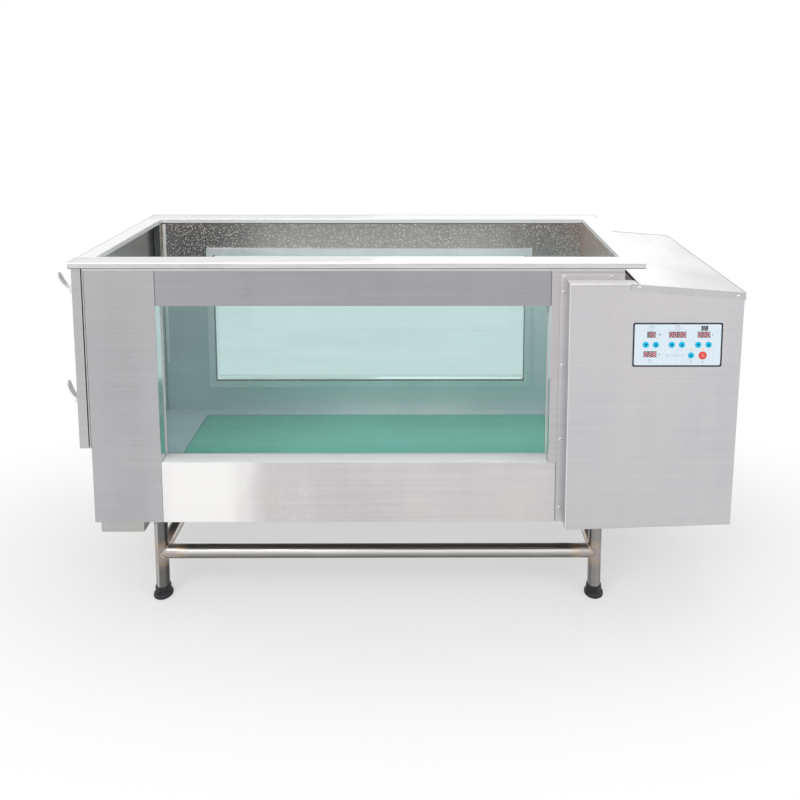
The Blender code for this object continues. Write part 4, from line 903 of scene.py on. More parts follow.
class MeshMaker:
    """Builds one mesh from boxes, turned shapes and swept tubes, in the frame's own metres."""

    def __init__(self, name: str) -> None:
        """Starts an empty mesh for a piece."""
        self.name, self.bm = name, bmesh.new()

    def row(self, points: Sequence[Vector]) -> list[bmesh.types.BMVert]:
        """Adds vertices."""
        return [self.bm.verts.new(point) for point in points]

    def box(self, low: Sequence[float], high: Sequence[float],
            edge: float = 0.0) -> "MeshMaker":
        """Adds a box with rounded edges.

        Args:
            low: Its lowest corner.
            high: Its highest corner.
            edge: The radius of its edges.

        Returns:
            The maker.
        """
        size = Vector(high) - Vector(low)
        matrix = Matrix.Translation((Vector(high) + Vector(low)) / 2)
        made = bmesh.ops.create_cube(self.bm, size=1.0,
                                     matrix=matrix @ Matrix.Diagonal((*size, 1.0)))
        if edge:
            edges = list({e for v in made["verts"] for e in v.link_edges})
            bmesh.ops.bevel(self.bm, geom=edges, offset=min(edge, min(size) * 0.49),
                            segments=2, profile=0.5, affect="EDGES")
        return self

    def turned(self, profile: Sequence[Pair], centre: Sequence[float], axis: str = "Z",
               sides: int = 48, capped: bool = True) -> "MeshMaker":
        """Adds a turned shape.

        Args:
            profile: Radius and height pairs along the axis.
            centre: The point that heights are measured from.
            axis: The axis of turning, X, Y or Z, with a minus for heights that run back.
            sides: Steps round the axis.
            capped: Whether an end that stays open is closed.

        Returns:
            The maker.
        """
        way = -1.0 if axis.startswith("-") else 1.0
        rings = []
        for radius, height in profile:
            ring = circle((0.0, 0.0), radius, sides) if radius else [(0.0, 0.0)]
            rings.append(self.row([Vector(centre) + lifted(pair, way * height, axis[-1])
                                   for pair in ring]))
        return self.skinned(rings, capped=capped)

    def skinned(self, rings: list[list[bmesh.types.BMVert]], closed: bool = False,
                capped: bool = True) -> "MeshMaker":
        """Joins rings of vertices with faces.

        Args:
            rings: The rings; one of a single vertex closes a cap.
            closed: Whether the last ring joins the first.
            capped: Whether an end that stays open is closed.

        Returns:
            The maker.
        """
        pairs = list(zip(rings, rings[1:])) + ([(rings[-1], rings[0])] if closed else [])
        for first, second in pairs:
            count = max(len(first), len(second))
            for k in range(count):
                n = (k + 1) % count
                corners = [first[k % len(first)], first[n % len(first)],
                           second[n % len(second)], second[k % len(second)]]
                unique = list(dict.fromkeys(corners))
                if len(unique) > 2:
                    self.bm.faces.new(unique)
        if capped and not closed:
            for ring in (rings[0], rings[-1]):
                if len(ring) > 2:
                    self.bm.faces.new(ring)
        return self

    def swept(self, path: Sequence[Sequence[float]], section: Section, closed: bool = False,
              up: Sequence[float] = (0.0, 0.0, 1.0)) -> "MeshMaker":
        """Sweeps a section along a path.

        Args:
            path: The path's points.
            section: Gives the section's (side, up) points for a share of the path.
            closed: Whether the path is a loop.
            up: A direction that the section's up stays close to.

        Returns:
            The maker.
        """
        points = [Vector(point) for point in path]
        count = len(points)
        rings = []
        for k, point in enumerate(points):
            before = points[k - 1] if closed or k else point
            after = points[(k + 1) % count] if closed or k < count - 1 else point
            ahead = (after - before).normalized()
            side = ahead.cross(Vector(up))
            if side.length < 1e-6:
                side = Vector((1.0, 0.0, 0.0))
            side.normalize()
            top = side.cross(ahead)
            rings.append(self.row([point + side * a + top * b
                                   for a, b in section(k / (count - 1))]))
        return self.skinned(rings, closed)

    def plate(self, points: Sequence[Pair], low: float, high: float, axis: str = "Y",
              hole: Optional[Sequence[Pair]] = None) -> "MeshMaker":
        """Adds a flat outline with thickness.

        Args:
            points: The outline's points across the axis.
            low: Where it starts along the axis.
            high: Where it ends.
            axis: The axis, X, Y or Z.
            hole: The hole's outline, with as many points.

        Returns:
            The maker.
        """
        count = len(points)
        outer, *inner = [[self.row([lifted(pair, level, axis) for pair in outline])
                          for level in (low, high)]
                         for outline in (points, hole) if outline]
        for k in range(count):
            n = (k + 1) % count
            self.bm.faces.new((outer[0][k], outer[0][n], outer[1][n], outer[1][k]))
            for near, far in inner:
                self.bm.faces.new((near[n], near[k], far[k], far[n]))
                for edge, rim in ((outer[0], near), (outer[1], far)):
                    self.bm.faces.new((edge[k], edge[n], rim[n], rim[k]))
        if not inner:
            self.bm.faces.new(outer[0])
            self.bm.faces.new(outer[1])
        return self

    def stamped(self, mesh: bpy.types.Mesh, matrix: Matrix) -> "MeshMaker":
        """Adds a copy of a finished mesh.

        Args:
            mesh: The mesh to copy.
            matrix: Where the copy goes.

        Returns:
            The maker.
        """
        start = len(self.bm.verts)
        self.bm.from_mesh(mesh)
        self.bm.verts.ensure_lookup_table()
        bmesh.ops.transform(self.bm, matrix=matrix, verts=self.bm.verts[start:])
        return self

    def made(self, smooth: float = 40.0) -> bpy.types.Mesh:
        """Ends the mesh.

        Args:
            smooth: Edges sharper than this many degrees stay sharp.

        Returns:
            The mesh.
        """
        bmesh.ops.recalc_face_normals(self.bm, faces=self.bm.faces)
        mesh = bpy.data.meshes.new(self.name)
        self.bm.to_mesh(mesh)
        self.bm.free()
        mesh.shade_smooth()
        mesh.set_sharp_from_angle(angle=math.radians(smooth))
        return mesh


class Dresser:
    """What every sub-assembly's dresser can do."""

    def fit(self, maker: MeshMaker, finish: Finish, body: str = "tank", node: str = "",
            smooth: float = 40.0) -> None:
        """Ends a piece, gives it its finish and its body, and reports it.

        Args:
            maker: The piece's mesh.
            finish: Its finish.
            body: The body that it rides on.
            node: The CAD node that it stands for.
            smooth: Edges sharper than this many degrees stay sharp.
        """
        piece = linked(maker.name, maker.made(smooth))
        piece.data.materials.append(finish.material())
        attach(piece, body)
        if node:
            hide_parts(node)
        log.info("piece %s on %s: %d faces", piece.name, body, len(piece.data.polygons))

    def bead(self, name: str, places: Sequence[Triple], radius: float,
             body: str = "tank") -> None:
        """A dark rounded fold of some radius along an outer edge, a painted edge shade."""
        self.fit(MeshMaker(name).swept(places, ring_section(radius, 8)), DARK_STEEL_AND_EDGE_SHADE, body)

    def dress(self, finish: Finish, *nodes: str) -> None:
        """Gives CAD nodes a better material.

        Args:
            finish: The finish.
            nodes: The nodes' names.
        """
        for name in nodes:
            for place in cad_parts[name].material_slots:
                place.material = finish.material()
            log.info("node %s dressed with %s", name, finish.name)


class Facing(Enum):
    """The way that a fastener's head points."""

    FRONT = (0.0, -1.0, 0.0)
    REAR = (0.0, 1.0, 0.0)
    LEFT = (-1.0, 0.0, 0.0)
    RIGHT = (1.0, 0.0, 0.0)
    TOP = (0.0, 0.0, 1.0)


Seat = tuple[Sequence[float], Facing]


@dataclass(frozen=True)
class Fastener:
    """A screw head with a cross recess, made once and stamped where it is needed."""

    radius: float
    height: float
    countersunk: bool = False
    sides: int = 28

    @cached_property
    def head(self) -> bpy.types.Mesh:
        """The head, its seat at the origin and its top towards +Z.

        Returns:
            Its mesh.
        """
        radius, height = self.radius, self.height
        if self.countersunk:
            crown = [(radius, height * 0.5), (radius * 0.92, height)]
        else:
            crown = [(radius * (0.35 + 0.65 * c), height * (0.25 + 0.75 * s))
                     for c, s in arc(0.0, 90.0, 6)]
        profile = [(0.0, 0.0), (radius, 0.0), *crown, (0.0, height)]
        return MeshMaker("fastener_head").turned(profile, (0, 0, 0), sides=self.sides).made()

    @cached_property
    def recess(self) -> bpy.types.Mesh:
        """The cross recess, a dark inlay flush with the head that paints the recess's shade.

        Returns:
            Its mesh.
        """
        long, short = self.radius * 0.5, self.radius * 0.13
        quarter = [(long, -short), (long, short), (short, short)]
        points = [point for a, b in ((1, 0), (0, 1), (-1, 0), (0, -1))
                  for point in [(x * a - z * b, x * b + z * a) for x, z in quarter]]
        return MeshMaker("fastener_recess").plate(points, self.height * 0.6,
                                                  self.height * 1.015, "Z").made()

    def set_in(self, name: str, places: Sequence[Seat], dresser: Dresser,
               body: str = "tank") -> None:
        """Stamps a row of screws as one piece of heads and one of recesses.

        Args:
            name: The pieces' name.
            places: Each screw's seat and facing.
            dresser: Who fits the pieces.
            body: The body that they ride on.
        """
        heads, crosses = MeshMaker(name), MeshMaker(name + "_recesses")
        for number, (seat, facing) in enumerate(places):
            turn = Vector(facing.value).to_track_quat("Z", "Y").to_matrix().to_4x4()
            spin = Matrix.Rotation(0.55 * number + 0.3, 4, "Z")
            matrix = Matrix.Translation(Vector(seat)) @ turn @ spin
            heads.stamped(self.head, matrix)
            crosses.stamped(self.recess, matrix)
        dresser.fit(heads, SCREW_STEEL, body)
        dresser.fit(crosses, PAINTED_SHADE_STEEL, body)


# The studio


@dataclass(frozen=True)
class Lamp:
    """A soft area lamp: its place, what it points at, its size and its power in watts."""

    name: str
    place: Triple
    target: Triple
    size: Pair
    power: float

    def hang(self) -> None:
        """Makes the lamp."""
        light = bpy.data.lights.new(self.name, "AREA")
        light.shape = "RECTANGLE"
        light.size, light.size_y = self.size
        light.energy = self.power
        lamp = linked(self.name, light)
        lamp.location = self.place
        lamp.rotation_mode = "QUATERNION"
        ahead = Vector(self.target) - Vector(self.place)
        lamp.rotation_quaternion = ahead.to_track_quat("-Z", "Y")


@dataclass
class Studio:
    """Camera, lamps, world and floor."""

    eye: Triple = (0.0905, -2.2580, 1.5601)
    pitch: float = 6.0
    yaw: float = 0.328
    roll: float = 0.10
    focal_pixels: float = 723.77
    shift: Pair = (-0.0420, -0.3245)
    image_width: float = 800.0
    sensor: float = 36.0
    ambient: float = 0.72
    floor_rings: tuple[float, ...] = (0.0, 0.9, 1.8, 3.2, 14.0)
    floor_level: float = -0.0002
    floor_white: float = 0.46
    lamps: tuple[Lamp, ...] = (
        Lamp("key_lamp", (-1.6, -2.6, 3.1), (0.0, 0.0, 0.55), (2.4, 1.6), 34.0),
        Lamp("fill_lamp", (2.6, -2.2, 2.4), (0.1, 0.0, 0.5), (2.0, 1.6), 14.0),
        Lamp("top_lamp", (0.1, 0.5, 3.4), (0.0, 0.0, 0.6), (2.6, 1.8), 18.0),
        Lamp("rear_lamp", (0.8, 3.0, 2.4), (0.0, 0.0, 0.5), (2.4, 1.4), 6.0))

    def build(self) -> None:
        """Builds everything round the object."""
        self._camera()
        self._world()
        self._floor()
        for lamp in self.lamps:
            lamp.hang()
        bpy.context.scene.view_settings.view_transform = "Standard"
        log.info("studio built")

    def _camera(self) -> None:
        """The camera at the photograph's viewing angle."""
        pitch, yaw, roll = (math.radians(a) for a in (self.pitch, self.yaw, self.roll))
        ahead = Vector((math.sin(yaw) * math.cos(pitch), math.cos(yaw) * math.cos(pitch),
                        -math.sin(pitch)))
        level = Vector((math.cos(yaw), -math.sin(yaw), 0.0))
        upright = level.cross(ahead)
        right = level * math.cos(roll) + upright * math.sin(roll)
        up = upright * math.cos(roll) - level * math.sin(roll)
        lens = bpy.data.cameras.new("camera")
        lens.sensor_width = self.sensor
        lens.lens = self.focal_pixels / self.image_width * self.sensor
        lens.shift_x, lens.shift_y = self.shift
        camera = linked("camera", lens)
        rotation = Matrix((right, up, -ahead)).transposed().to_4x4()
        camera.matrix_world = Matrix.Translation(self.eye) @ rotation
        bpy.context.scene.camera = camera

    def _world(self) -> None:
        """White where it is seen or mirrored, and a soft level for what it lights."""
        world = bpy.data.worlds.new("studio_world")
        world.use_nodes = True
        world.node_tree.nodes.clear()
        graph = NodeGraph(world.node_tree)
        lit, white = (graph.read("ShaderNodeBackground", None,
                                 {"Color": (1.0, 1.0, 1.0), "Strength": strength})
                      for strength in (self.ambient, 1.0))
        shader = graph.read("ShaderNodeMixShader", None, {0: self._seen(graph), 1: lit, 2: white})
        graph.add("ShaderNodeOutputWorld", None, {"Surface": shader})
        bpy.context.scene.world = world

    @staticmethod
    def _seen(graph: NodeGraph) -> Signal:
        """Whether a ray is the camera's, a reflection's or one through glass.

        Args:
            graph: The graph that the test goes in.

        Returns:
            1 for such a ray, otherwise 0.
        """
        path = graph.add("ShaderNodeLightPath")
        camera, glossy, through = (Signal(graph, path.outputs[name]) for name in
                                   ("Is Camera Ray", "Is Glossy Ray", "Is Transmission Ray"))
        return camera.at_least(glossy).at_least(through)

    def _floor(self) -> None:
        """A pale floor that keeps the shadow and runs out into the white background."""
        maker = MeshMaker("studio_floor")
        maker.turned([(reach, self.floor_level) for reach in self.floor_rings], (0.0, 0.0, 0.0),
                     capped=False)
        floor = linked(maker.name, maker.made())
        material = bpy.data.materials.new("pale_floor")
        material.use_nodes = True
        graph = NodeGraph(material.node_tree)
        shader = material.node_tree.nodes["Principled BSDF"]
        grain = graph.noise(6.0, 3.0, 0.5)
        graph.feed(shader.inputs["Base Color"], graph.mix(grain, (0.86,) * 3, (0.89,) * 3))
        graph.feed(shader.inputs["Roughness"], 0.75 + grain.sway(0.1))
        graph.feed(shader.inputs["Specular IOR Level"], 0.1)
        distance = graph.read("ShaderNodeVectorMath", {"operation": "LENGTH"},
                              {0: graph.stretched((0.45, 1.0, 1.0))}, "Value")
        white = graph.read("ShaderNodeEmission", None, {"Color": (1.0, 1.0, 1.0), "Strength": 1.0})
        far = self.floor_white + distance.eased(0.42, 0.95) * (1.0 - self.floor_white)
        mixed = graph.read("ShaderNodeMixShader", None,
                           {0: far * self._seen(graph), 1: Signal(graph, shader.outputs[0]),
                            2: white})
        graph.feed(material.node_tree.nodes["Material Output"].inputs["Surface"], mixed)
        floor.data.materials.append(material)


# The stand


@dataclass
class StandDresser(Dresser):
    """Legs, feet and stretchers with their welds."""

    sides: int = 48
    tube_edge: float = 0.0008
    joint_gap: float = 0.0002
    weld_radius: float = 0.0021
    weld_swell: float = 0.16
    weld_ripples: float = 17.0
    neck_share: float = 0.782

    def build(self) -> None:
        """Builds and dresses the stand."""
        for end in ("front", "rear"):
            for side in ("left", "right"):
                self._leg(f"{end}_{side}")
        for end, way in (("front", 1.0), ("rear", -1.0)):
            self._stretcher(end, f"{end}_left", f"{end}_right", (0.0, way, 0.0),
                            LONG_TUBE_STEEL)
        for side, way in (("left", 1.0), ("right", -1.0)):
            self._stretcher(side, f"front_{side}", f"rear_{side}", (way, 0.0, 0.0),
                            SIDE_TUBE_STEEL, crossing=True)

    def _leg(self, key: str) -> None:
        """One leg, its weld to the tank and its foot.

        Args:
            key: Which leg.
        """
        low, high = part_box("leg_" + key)
        x, y, _ = middle("leg_" + key)
        radius = (high.x - low.x) / 2
        profile = [(0.0, low.z), (radius - self.tube_edge, low.z),
                   (radius, low.z + self.tube_edge), (radius, high.z), (0.0, high.z)]
        self.fit(MeshMaker("leg_tube_" + key).turned(profile, (x, y, 0.0), sides=self.sides),
                 TUBE_STEEL if key.endswith("left") else RIGHT_TUBE_STEEL, node="leg_" + key)
        ring = [(*pair, high.z - 0.0006) for pair in circle((x, y), radius + 0.0006, 72)]
        self.fit(MeshMaker("leg_weld_" + key).swept(ring, self._bead, closed=True), WELD)
        self._foot(key, (x, y, 0.0))

    def _foot(self, key: str, centre: Triple) -> None:
        """The moulded foot of one leg.

        Args:
            key: Which leg.
            centre: Where its axis meets the floor.
        """
        low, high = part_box("foot_" + key)
        radius, top = (high.x - low.x) / 2, high.z
        neck = radius * self.neck_share
        profile = [(0.0, top), (neck - 0.0016, top), (neck - 0.0005, top - 0.0005),
                   (neck, top - 0.0016), (neck, top * 0.80), (neck + 0.0008, top * 0.78),
                   (neck + 0.0008, top * 0.70), (neck, top * 0.68),
                   (neck + 0.0002, top * 0.56)]
        profile += [(neck + (radius - neck) * (1.0 - c), top * (0.50 - 0.28 * s))
                    for c, s in arc(0.0, 90.0, 6)]
        profile += [(radius, top * 0.17), (radius - 0.0006, top * 0.15),
                    (radius - 0.0006, top * 0.12), (radius, top * 0.10), (radius, 0.0016),
                    (radius - 0.0016, 0.0), (0.0, 0.0)]
        self.fit(MeshMaker("foot_rubber_" + key).turned(profile, centre, sides=self.sides),
                 FOOT_RUBBER, node="foot_" + key)

    def _bead(self, share: float) -> list[Pair]:
        """The section of a weld bead, which swells with each ripple."""
        swell = 1.0 + self.weld_swell * math.sin(share * 2 * math.pi * self.weld_ripples)
        return circle((0.0, 0.0), self.weld_radius * swell, 8)

    def _stretcher(self, name: str, first: str, last: str, inner: Triple, finish: Finish,
                   crossing: bool = False) -> None:
        """A tube between two legs, with saddle-shaped ends and a weld bead round each.

        Args:
            name: Which stretcher.
            first: The leg where it starts.
            last: The leg where it ends.
            inner: The direction across the tube towards the stand's middle.
            finish: Its finish.
            crossing: Whether its ends also meet the long stretchers.
        """
        node = "stretcher_" + name
        low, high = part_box(node)
        radius = (high.z - low.z) / 2
        start, end = middle("leg_" + first), middle("leg_" + last)
        start.z = end.z = middle(node).z
        along = (end - start).normalized()
        maker = MeshMaker("stretcher_tube_" + name)
        rings, beads = [], []
        for origin, way in ((start, along), (end, -along)):
            ring, bead = [], []
            for c, s in spokes(self.sides):
                out = Vector(inner) * c + Vector((0.0, 0.0, s))
                reach = radius * max(abs(s), c if crossing else 0.0) + self.joint_gap
                ring.append(origin + out * radius + way * reach)
                bead.append(origin + out * (radius + 0.0004) + way * (reach + 0.0012))
            rings.append(maker.row(ring))
            beads.append(bead)
        half_way = maker.row([(a.co + b.co) / 2 for a, b in zip(*rings)])
        self.fit(maker.skinned([rings[0], half_way, rings[1]]), finish, node=node)
        for number, bead in enumerate(beads):
            self.fit(MeshMaker(f"{maker.name}_weld_{number}").swept(bead, self._bead, True,
                                                                    along), WELD)


# The tank


@dataclass
class TankDresser(Dresser):
    """Walls, windows, floor, drain and rim."""

    strip_height: float = 0.0085
    strip_proud: float = 0.0012
    painted_shadow_gap: float = 0.0024
    line_proud: float = 0.00015
    doorway_half: float = 0.2350
    seal_radius: float = 0.0028
    seam_radius: float = 0.0009
    frame_sheet: float = 0.0013
    frame_margin: float = 0.008
    drain_radius: float = 0.0286
    drain_bar_pitch: float = 0.0075
    outlet_inset: float = 0.100
    thread_pitch: float = 0.0048

    def build(self) -> None:
        """Builds and dresses the tank."""
        self.dress(COLUMN_SHEET, "front_left_column")
        self.dress(HEADER_PAINTED_SHADE_SHEET, "front_header")
        self.dress(LOWER_PAINTED_LIGHT_SHEET, "front_lower_panel")
        self.dress(RIGHT_PAINTED_LIGHT_SHEET, "front_right_column")
        self.dress(REAR_SHEET, "rear_wall")
        self.dress(LINING_SHEET, "right_end_wall", "tank_floor")
        self.dress(JAMB_SHEET, "door_jamb")
        self.dress(TROUGH_SHEET, "drain_trough")
        self.dress(GLASS, "front_window", "rear_window")
        self.dress(RIM_STEEL, "rim_front")
        self.dress(REAR_RIM_STEEL, "rim_rear")
        self.dress(END_RIM_STEEL, "rim_right")
        self._folded_strips()
        self._dark_lines()
        self._doorway_trim()
        self._window_sills()
        self._window_frames()
        self._window_seals()
        self._welds()
        self._rim_beads()
        self._drain_fittings()

    @property
    def columns(self) -> Pair:
        """Where the front columns' sides close the window at the left and the right."""
        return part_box("front_left_column")[1].x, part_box("front_right_column")[0].x

    def _folded_strips(self) -> None:
        """The bright fold of the cladding under the rim, with a painted shadow in the gap over it.
        """
        left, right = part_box("front_left_column")[0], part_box("front_right_column")[1]
        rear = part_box("rear_wall")[1].y
        joint = right.z - 0.0002
        top = joint - self.painted_shadow_gap
        gap = MeshMaker("painted_shadow_gap_under_rim")
        for name, near, far in (("front", left.y - self.strip_proud, left.y + 0.001),
                                ("rear", rear - 0.001, rear + self.strip_proud)):
            strip = MeshMaker("fold_under_rim_" + name)
            strip.box((left.x, near, top - self.strip_height), (right.x, far, top), 0.0006)
            self.fit(strip, FOLD_STEEL)
            # Painted shadow: a dark strip between the rim and the fold.
            gap.box((left.x + 0.001, near + 0.0008, top - 0.0003),
                    (right.x - 0.001, far - 0.0008, joint))
        self.fit(gap, PAINTED_SHADE_STEEL)

    def _dark_lines(self) -> None:
        """The painted shade along the rim's lower edges, and the joints where the header meets the
        columns.
        """
        # Painted shade: a dark strip along the lower edge of the front and rear rims.
        proud, edges = self.line_proud, MeshMaker("rim_lower_edge_shade")
        for low, high in (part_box("rim_front"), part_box("rim_rear")):
            edges.box((low.x + 0.002, low.y - proud, low.z + 0.0001),
                      (high.x - 0.002, high.y + proud, low.z + 0.0014))
        self.fit(edges, DARK_STEEL_AND_EDGE_SHADE)
        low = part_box("front_header")[0]
        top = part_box("front_right_column")[1].z - self.strip_height - 0.003
        joints = MeshMaker("header_joint_lines")
        for x in self.columns:
            joints.box((x - 0.0008, low.y - proud, low.z + 0.0003),
                       (x + 0.0008, low.y + 0.001, top))
        self.fit(joints, DARK_STEEL_AND_EDGE_SHADE)

    def _doorway_trim(self) -> None:
        """A rubber face on each post of the doorway and a bright strip beside it, a painted
        highlight.
        """
        low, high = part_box("door_jamb")
        walls = [corner.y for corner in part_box("tank_floor")]
        sill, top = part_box("door_panel")[0].z + 0.02, high.z - 0.002
        rubber, strip = MeshMaker("doorway_rubber"), MeshMaker("doorway_corner_highlights")
        for side, wall in zip((-1.0, 1.0), walls):
            post = (low.y + high.y) / 2 + side * self.doorway_half
            near, far = sorted((post - side * 0.0010, post + side * 0.0003))
            rubber.box((low.x + 0.0012, near, sill), (high.x - 0.0010, far, top), 0.0003)
            # Painted highlight: a near-white strip in the inner corner beside each post.
            near, far = sorted((wall, wall - side * 0.0012))
            strip.box((high.x + 0.0030, near, sill), (high.x + 0.0135, far, top), 0.0004)
        self.fit(rubber, SEAL_RUBBER)
        self.fit(strip, SILL_PAINTED_LIGHT)

    def _window_sills(self) -> None:
        """A folded strip on the sill of each window, painted near white as painted light."""
        low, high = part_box("front_header")
        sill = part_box("front_lower_panel")[1].z
        front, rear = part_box("front_window")[0].y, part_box("rear_window")[1].y
        back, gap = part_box("rear_wall")[1].y, 0.0022
        for name, near, far, finish in (("front", low.y, front, SILL_PAINTED_LIGHT),
                                        ("rear", rear, back, REAR_SILL_PAINTED_LIGHT)):
            strip = MeshMaker("window_sill_" + name)
            strip.box((low.x + 0.0008, near + gap, sill - 0.0004),
                      (high.x - 0.0008, far - gap, sill + 0.0011), 0.0004)
            self.fit(strip, finish)

    def _window_frames(self) -> None:
        """The frames that hold the panes to the wall from inside the tank."""
        opening = rectangle(*((centre - half, centre + half)
                              for _, centre, half in WINDOW_OPENING))
        for name, sign in (("front", -1.0), ("rear", 1.0)):
            low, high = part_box(name + "_window")
            face, wall = (low.y, high.y) if sign > 0.0 else (high.y, low.y)
            near = face - sign * (self.frame_sheet + 0.0002)
            outer, inner = (rectangle((low.x, high.x), (low.z, high.z), margin) for margin in
                            (self.frame_margin, self.frame_margin - self.frame_sheet))
            sheet = MeshMaker("window_frame_" + name)
            for hole, ends in ((opening, (near, face - sign * 0.0002)),
                               (inner, (near + sign * 0.0005, wall + sign * 0.0001))):
                sheet.plate(outer, *sorted(ends), hole=hole)
            self.fit(sheet, FRAME_SHEET)

    def _window_seals(self) -> None:
        """A sealant bead round each pane, in the corner between glass and wall."""
        left, right = self.columns
        top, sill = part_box("front_header")[0].z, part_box("front_lower_panel")[1].z
        inset = self.seal_radius * 0.5
        points = rounded(((left + right) / 2, (sill + top) / 2), right - left - inset,
                         top - sill - inset, 0.004)
        for name, y in (("front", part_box("front_window")[0].y - self.seal_radius * 0.6),
                        ("rear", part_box("rear_window")[1].y + self.seal_radius * 0.6)):
            path = [(x, y, z) for x, z in points]
            self.fit(MeshMaker("window_seal_" + name).swept(
                path, ring_section(self.seal_radius), True, (0.0, 1.0, 0.0)), SILICONE)

    def _welds(self) -> None:
        """Welds down the tank's inner corners, and ground ones across the rim's corners."""
        low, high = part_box("tank_floor")
        corners = MeshMaker("inner_corner_welds")
        for x, y in ((high.x, low.y), (high.x, high.y), (low.x, low.y), (low.x, high.y)):
            corners.swept([(x, y, high.z), (x, y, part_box("right_end_wall")[1].z - 0.002)],
                          ring_section(self.seam_radius * 2.2, 8), up=(1.0, 0.0, 0.0))
        self.fit(corners, WELD)
        (front_low, front_high), (rear_low, rear_high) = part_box("rim_front"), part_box("rim_rear")
        right, left = front_high.x - 0.0015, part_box("rim_right")[0].x + 0.001
        level = front_high.z - 0.0004
        seams = MeshMaker("rim_corner_welds")
        for outer, inner in ((front_low.y, front_high.y), (rear_high.y, rear_low.y)):
            start, end = Vector((right, outer * 0.997, level)), Vector((left, inner, level))
            seams.swept([start, start.lerp(end, 0.5), end], ring_section(self.seam_radius, 8))
        self.fit(seams, SCREW_STEEL)

    def _rim_beads(self) -> None:
        """The dark rounded folds along the rim's outer edges behind and at the left, a painted edge
        shade.
        """
        low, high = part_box("rim_rear")
        left, right, back, top = (low.x + 0.0010, high.x - 0.0010, high.y - 0.0012,
                                  high.z - 0.0006)
        self.bead("rim_bead_rear", [(left, low.y + 0.003, top), (left, back - 0.002, top),
                                    (left + 0.002, back, top), (right - 0.002, back, top),
                                    (right, back - 0.002, top), (right, low.y + 0.020, top)],
                  0.0011)
        low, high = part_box("rim_front")
        self.bead("rim_bead_front", [(left, low.y + 0.003, top), (left, high.y - 0.003, top)],
                  0.0007)

    def _drain_fittings(self) -> None:
        """The strainer over the drain hole and the threaded collar on the outlet."""
        x, level = middle("drain_trough").x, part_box("tank_floor")[1].z
        strainer = MeshMaker("drain_strainer")
        strainer.turned([(0.030, -0.004), (0.0365, 0.0004), (0.0365, 0.0016), (0.0345, 0.0022),
                         (0.0285, 0.0012), (0.0285, -0.004)], (x, 0.0, level), sides=40)
        for k in range(-3, 4):
            off = k * self.drain_bar_pitch
            reach = math.sqrt(self.drain_radius ** 2 - off ** 2)
            strainer.box((x + off - 0.0012, -reach, level - 0.0028),
                         (x + off + 0.0012, reach, level - 0.0008), 0.0004)
        self.fit(strainer, CHROME)
        profile = [(0.0202, 0.034), (0.0262, 0.034), (0.027, 0.033)]
        for k in range(5):
            crest = 0.030 - k * self.thread_pitch
            profile += [(0.0235, crest), (0.0222, crest - self.thread_pitch / 2)]
        profile += [(0.0225, 0.004), (0.0202, 0.003)]
        outlet = (x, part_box("rear_wall")[1].y - self.outlet_inset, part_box("drain_trough")[0].z)
        self.fit(MeshMaker("drain_outlet_collar").turned(profile, outlet, sides=40),
                 PULLEY_METAL)


# The door


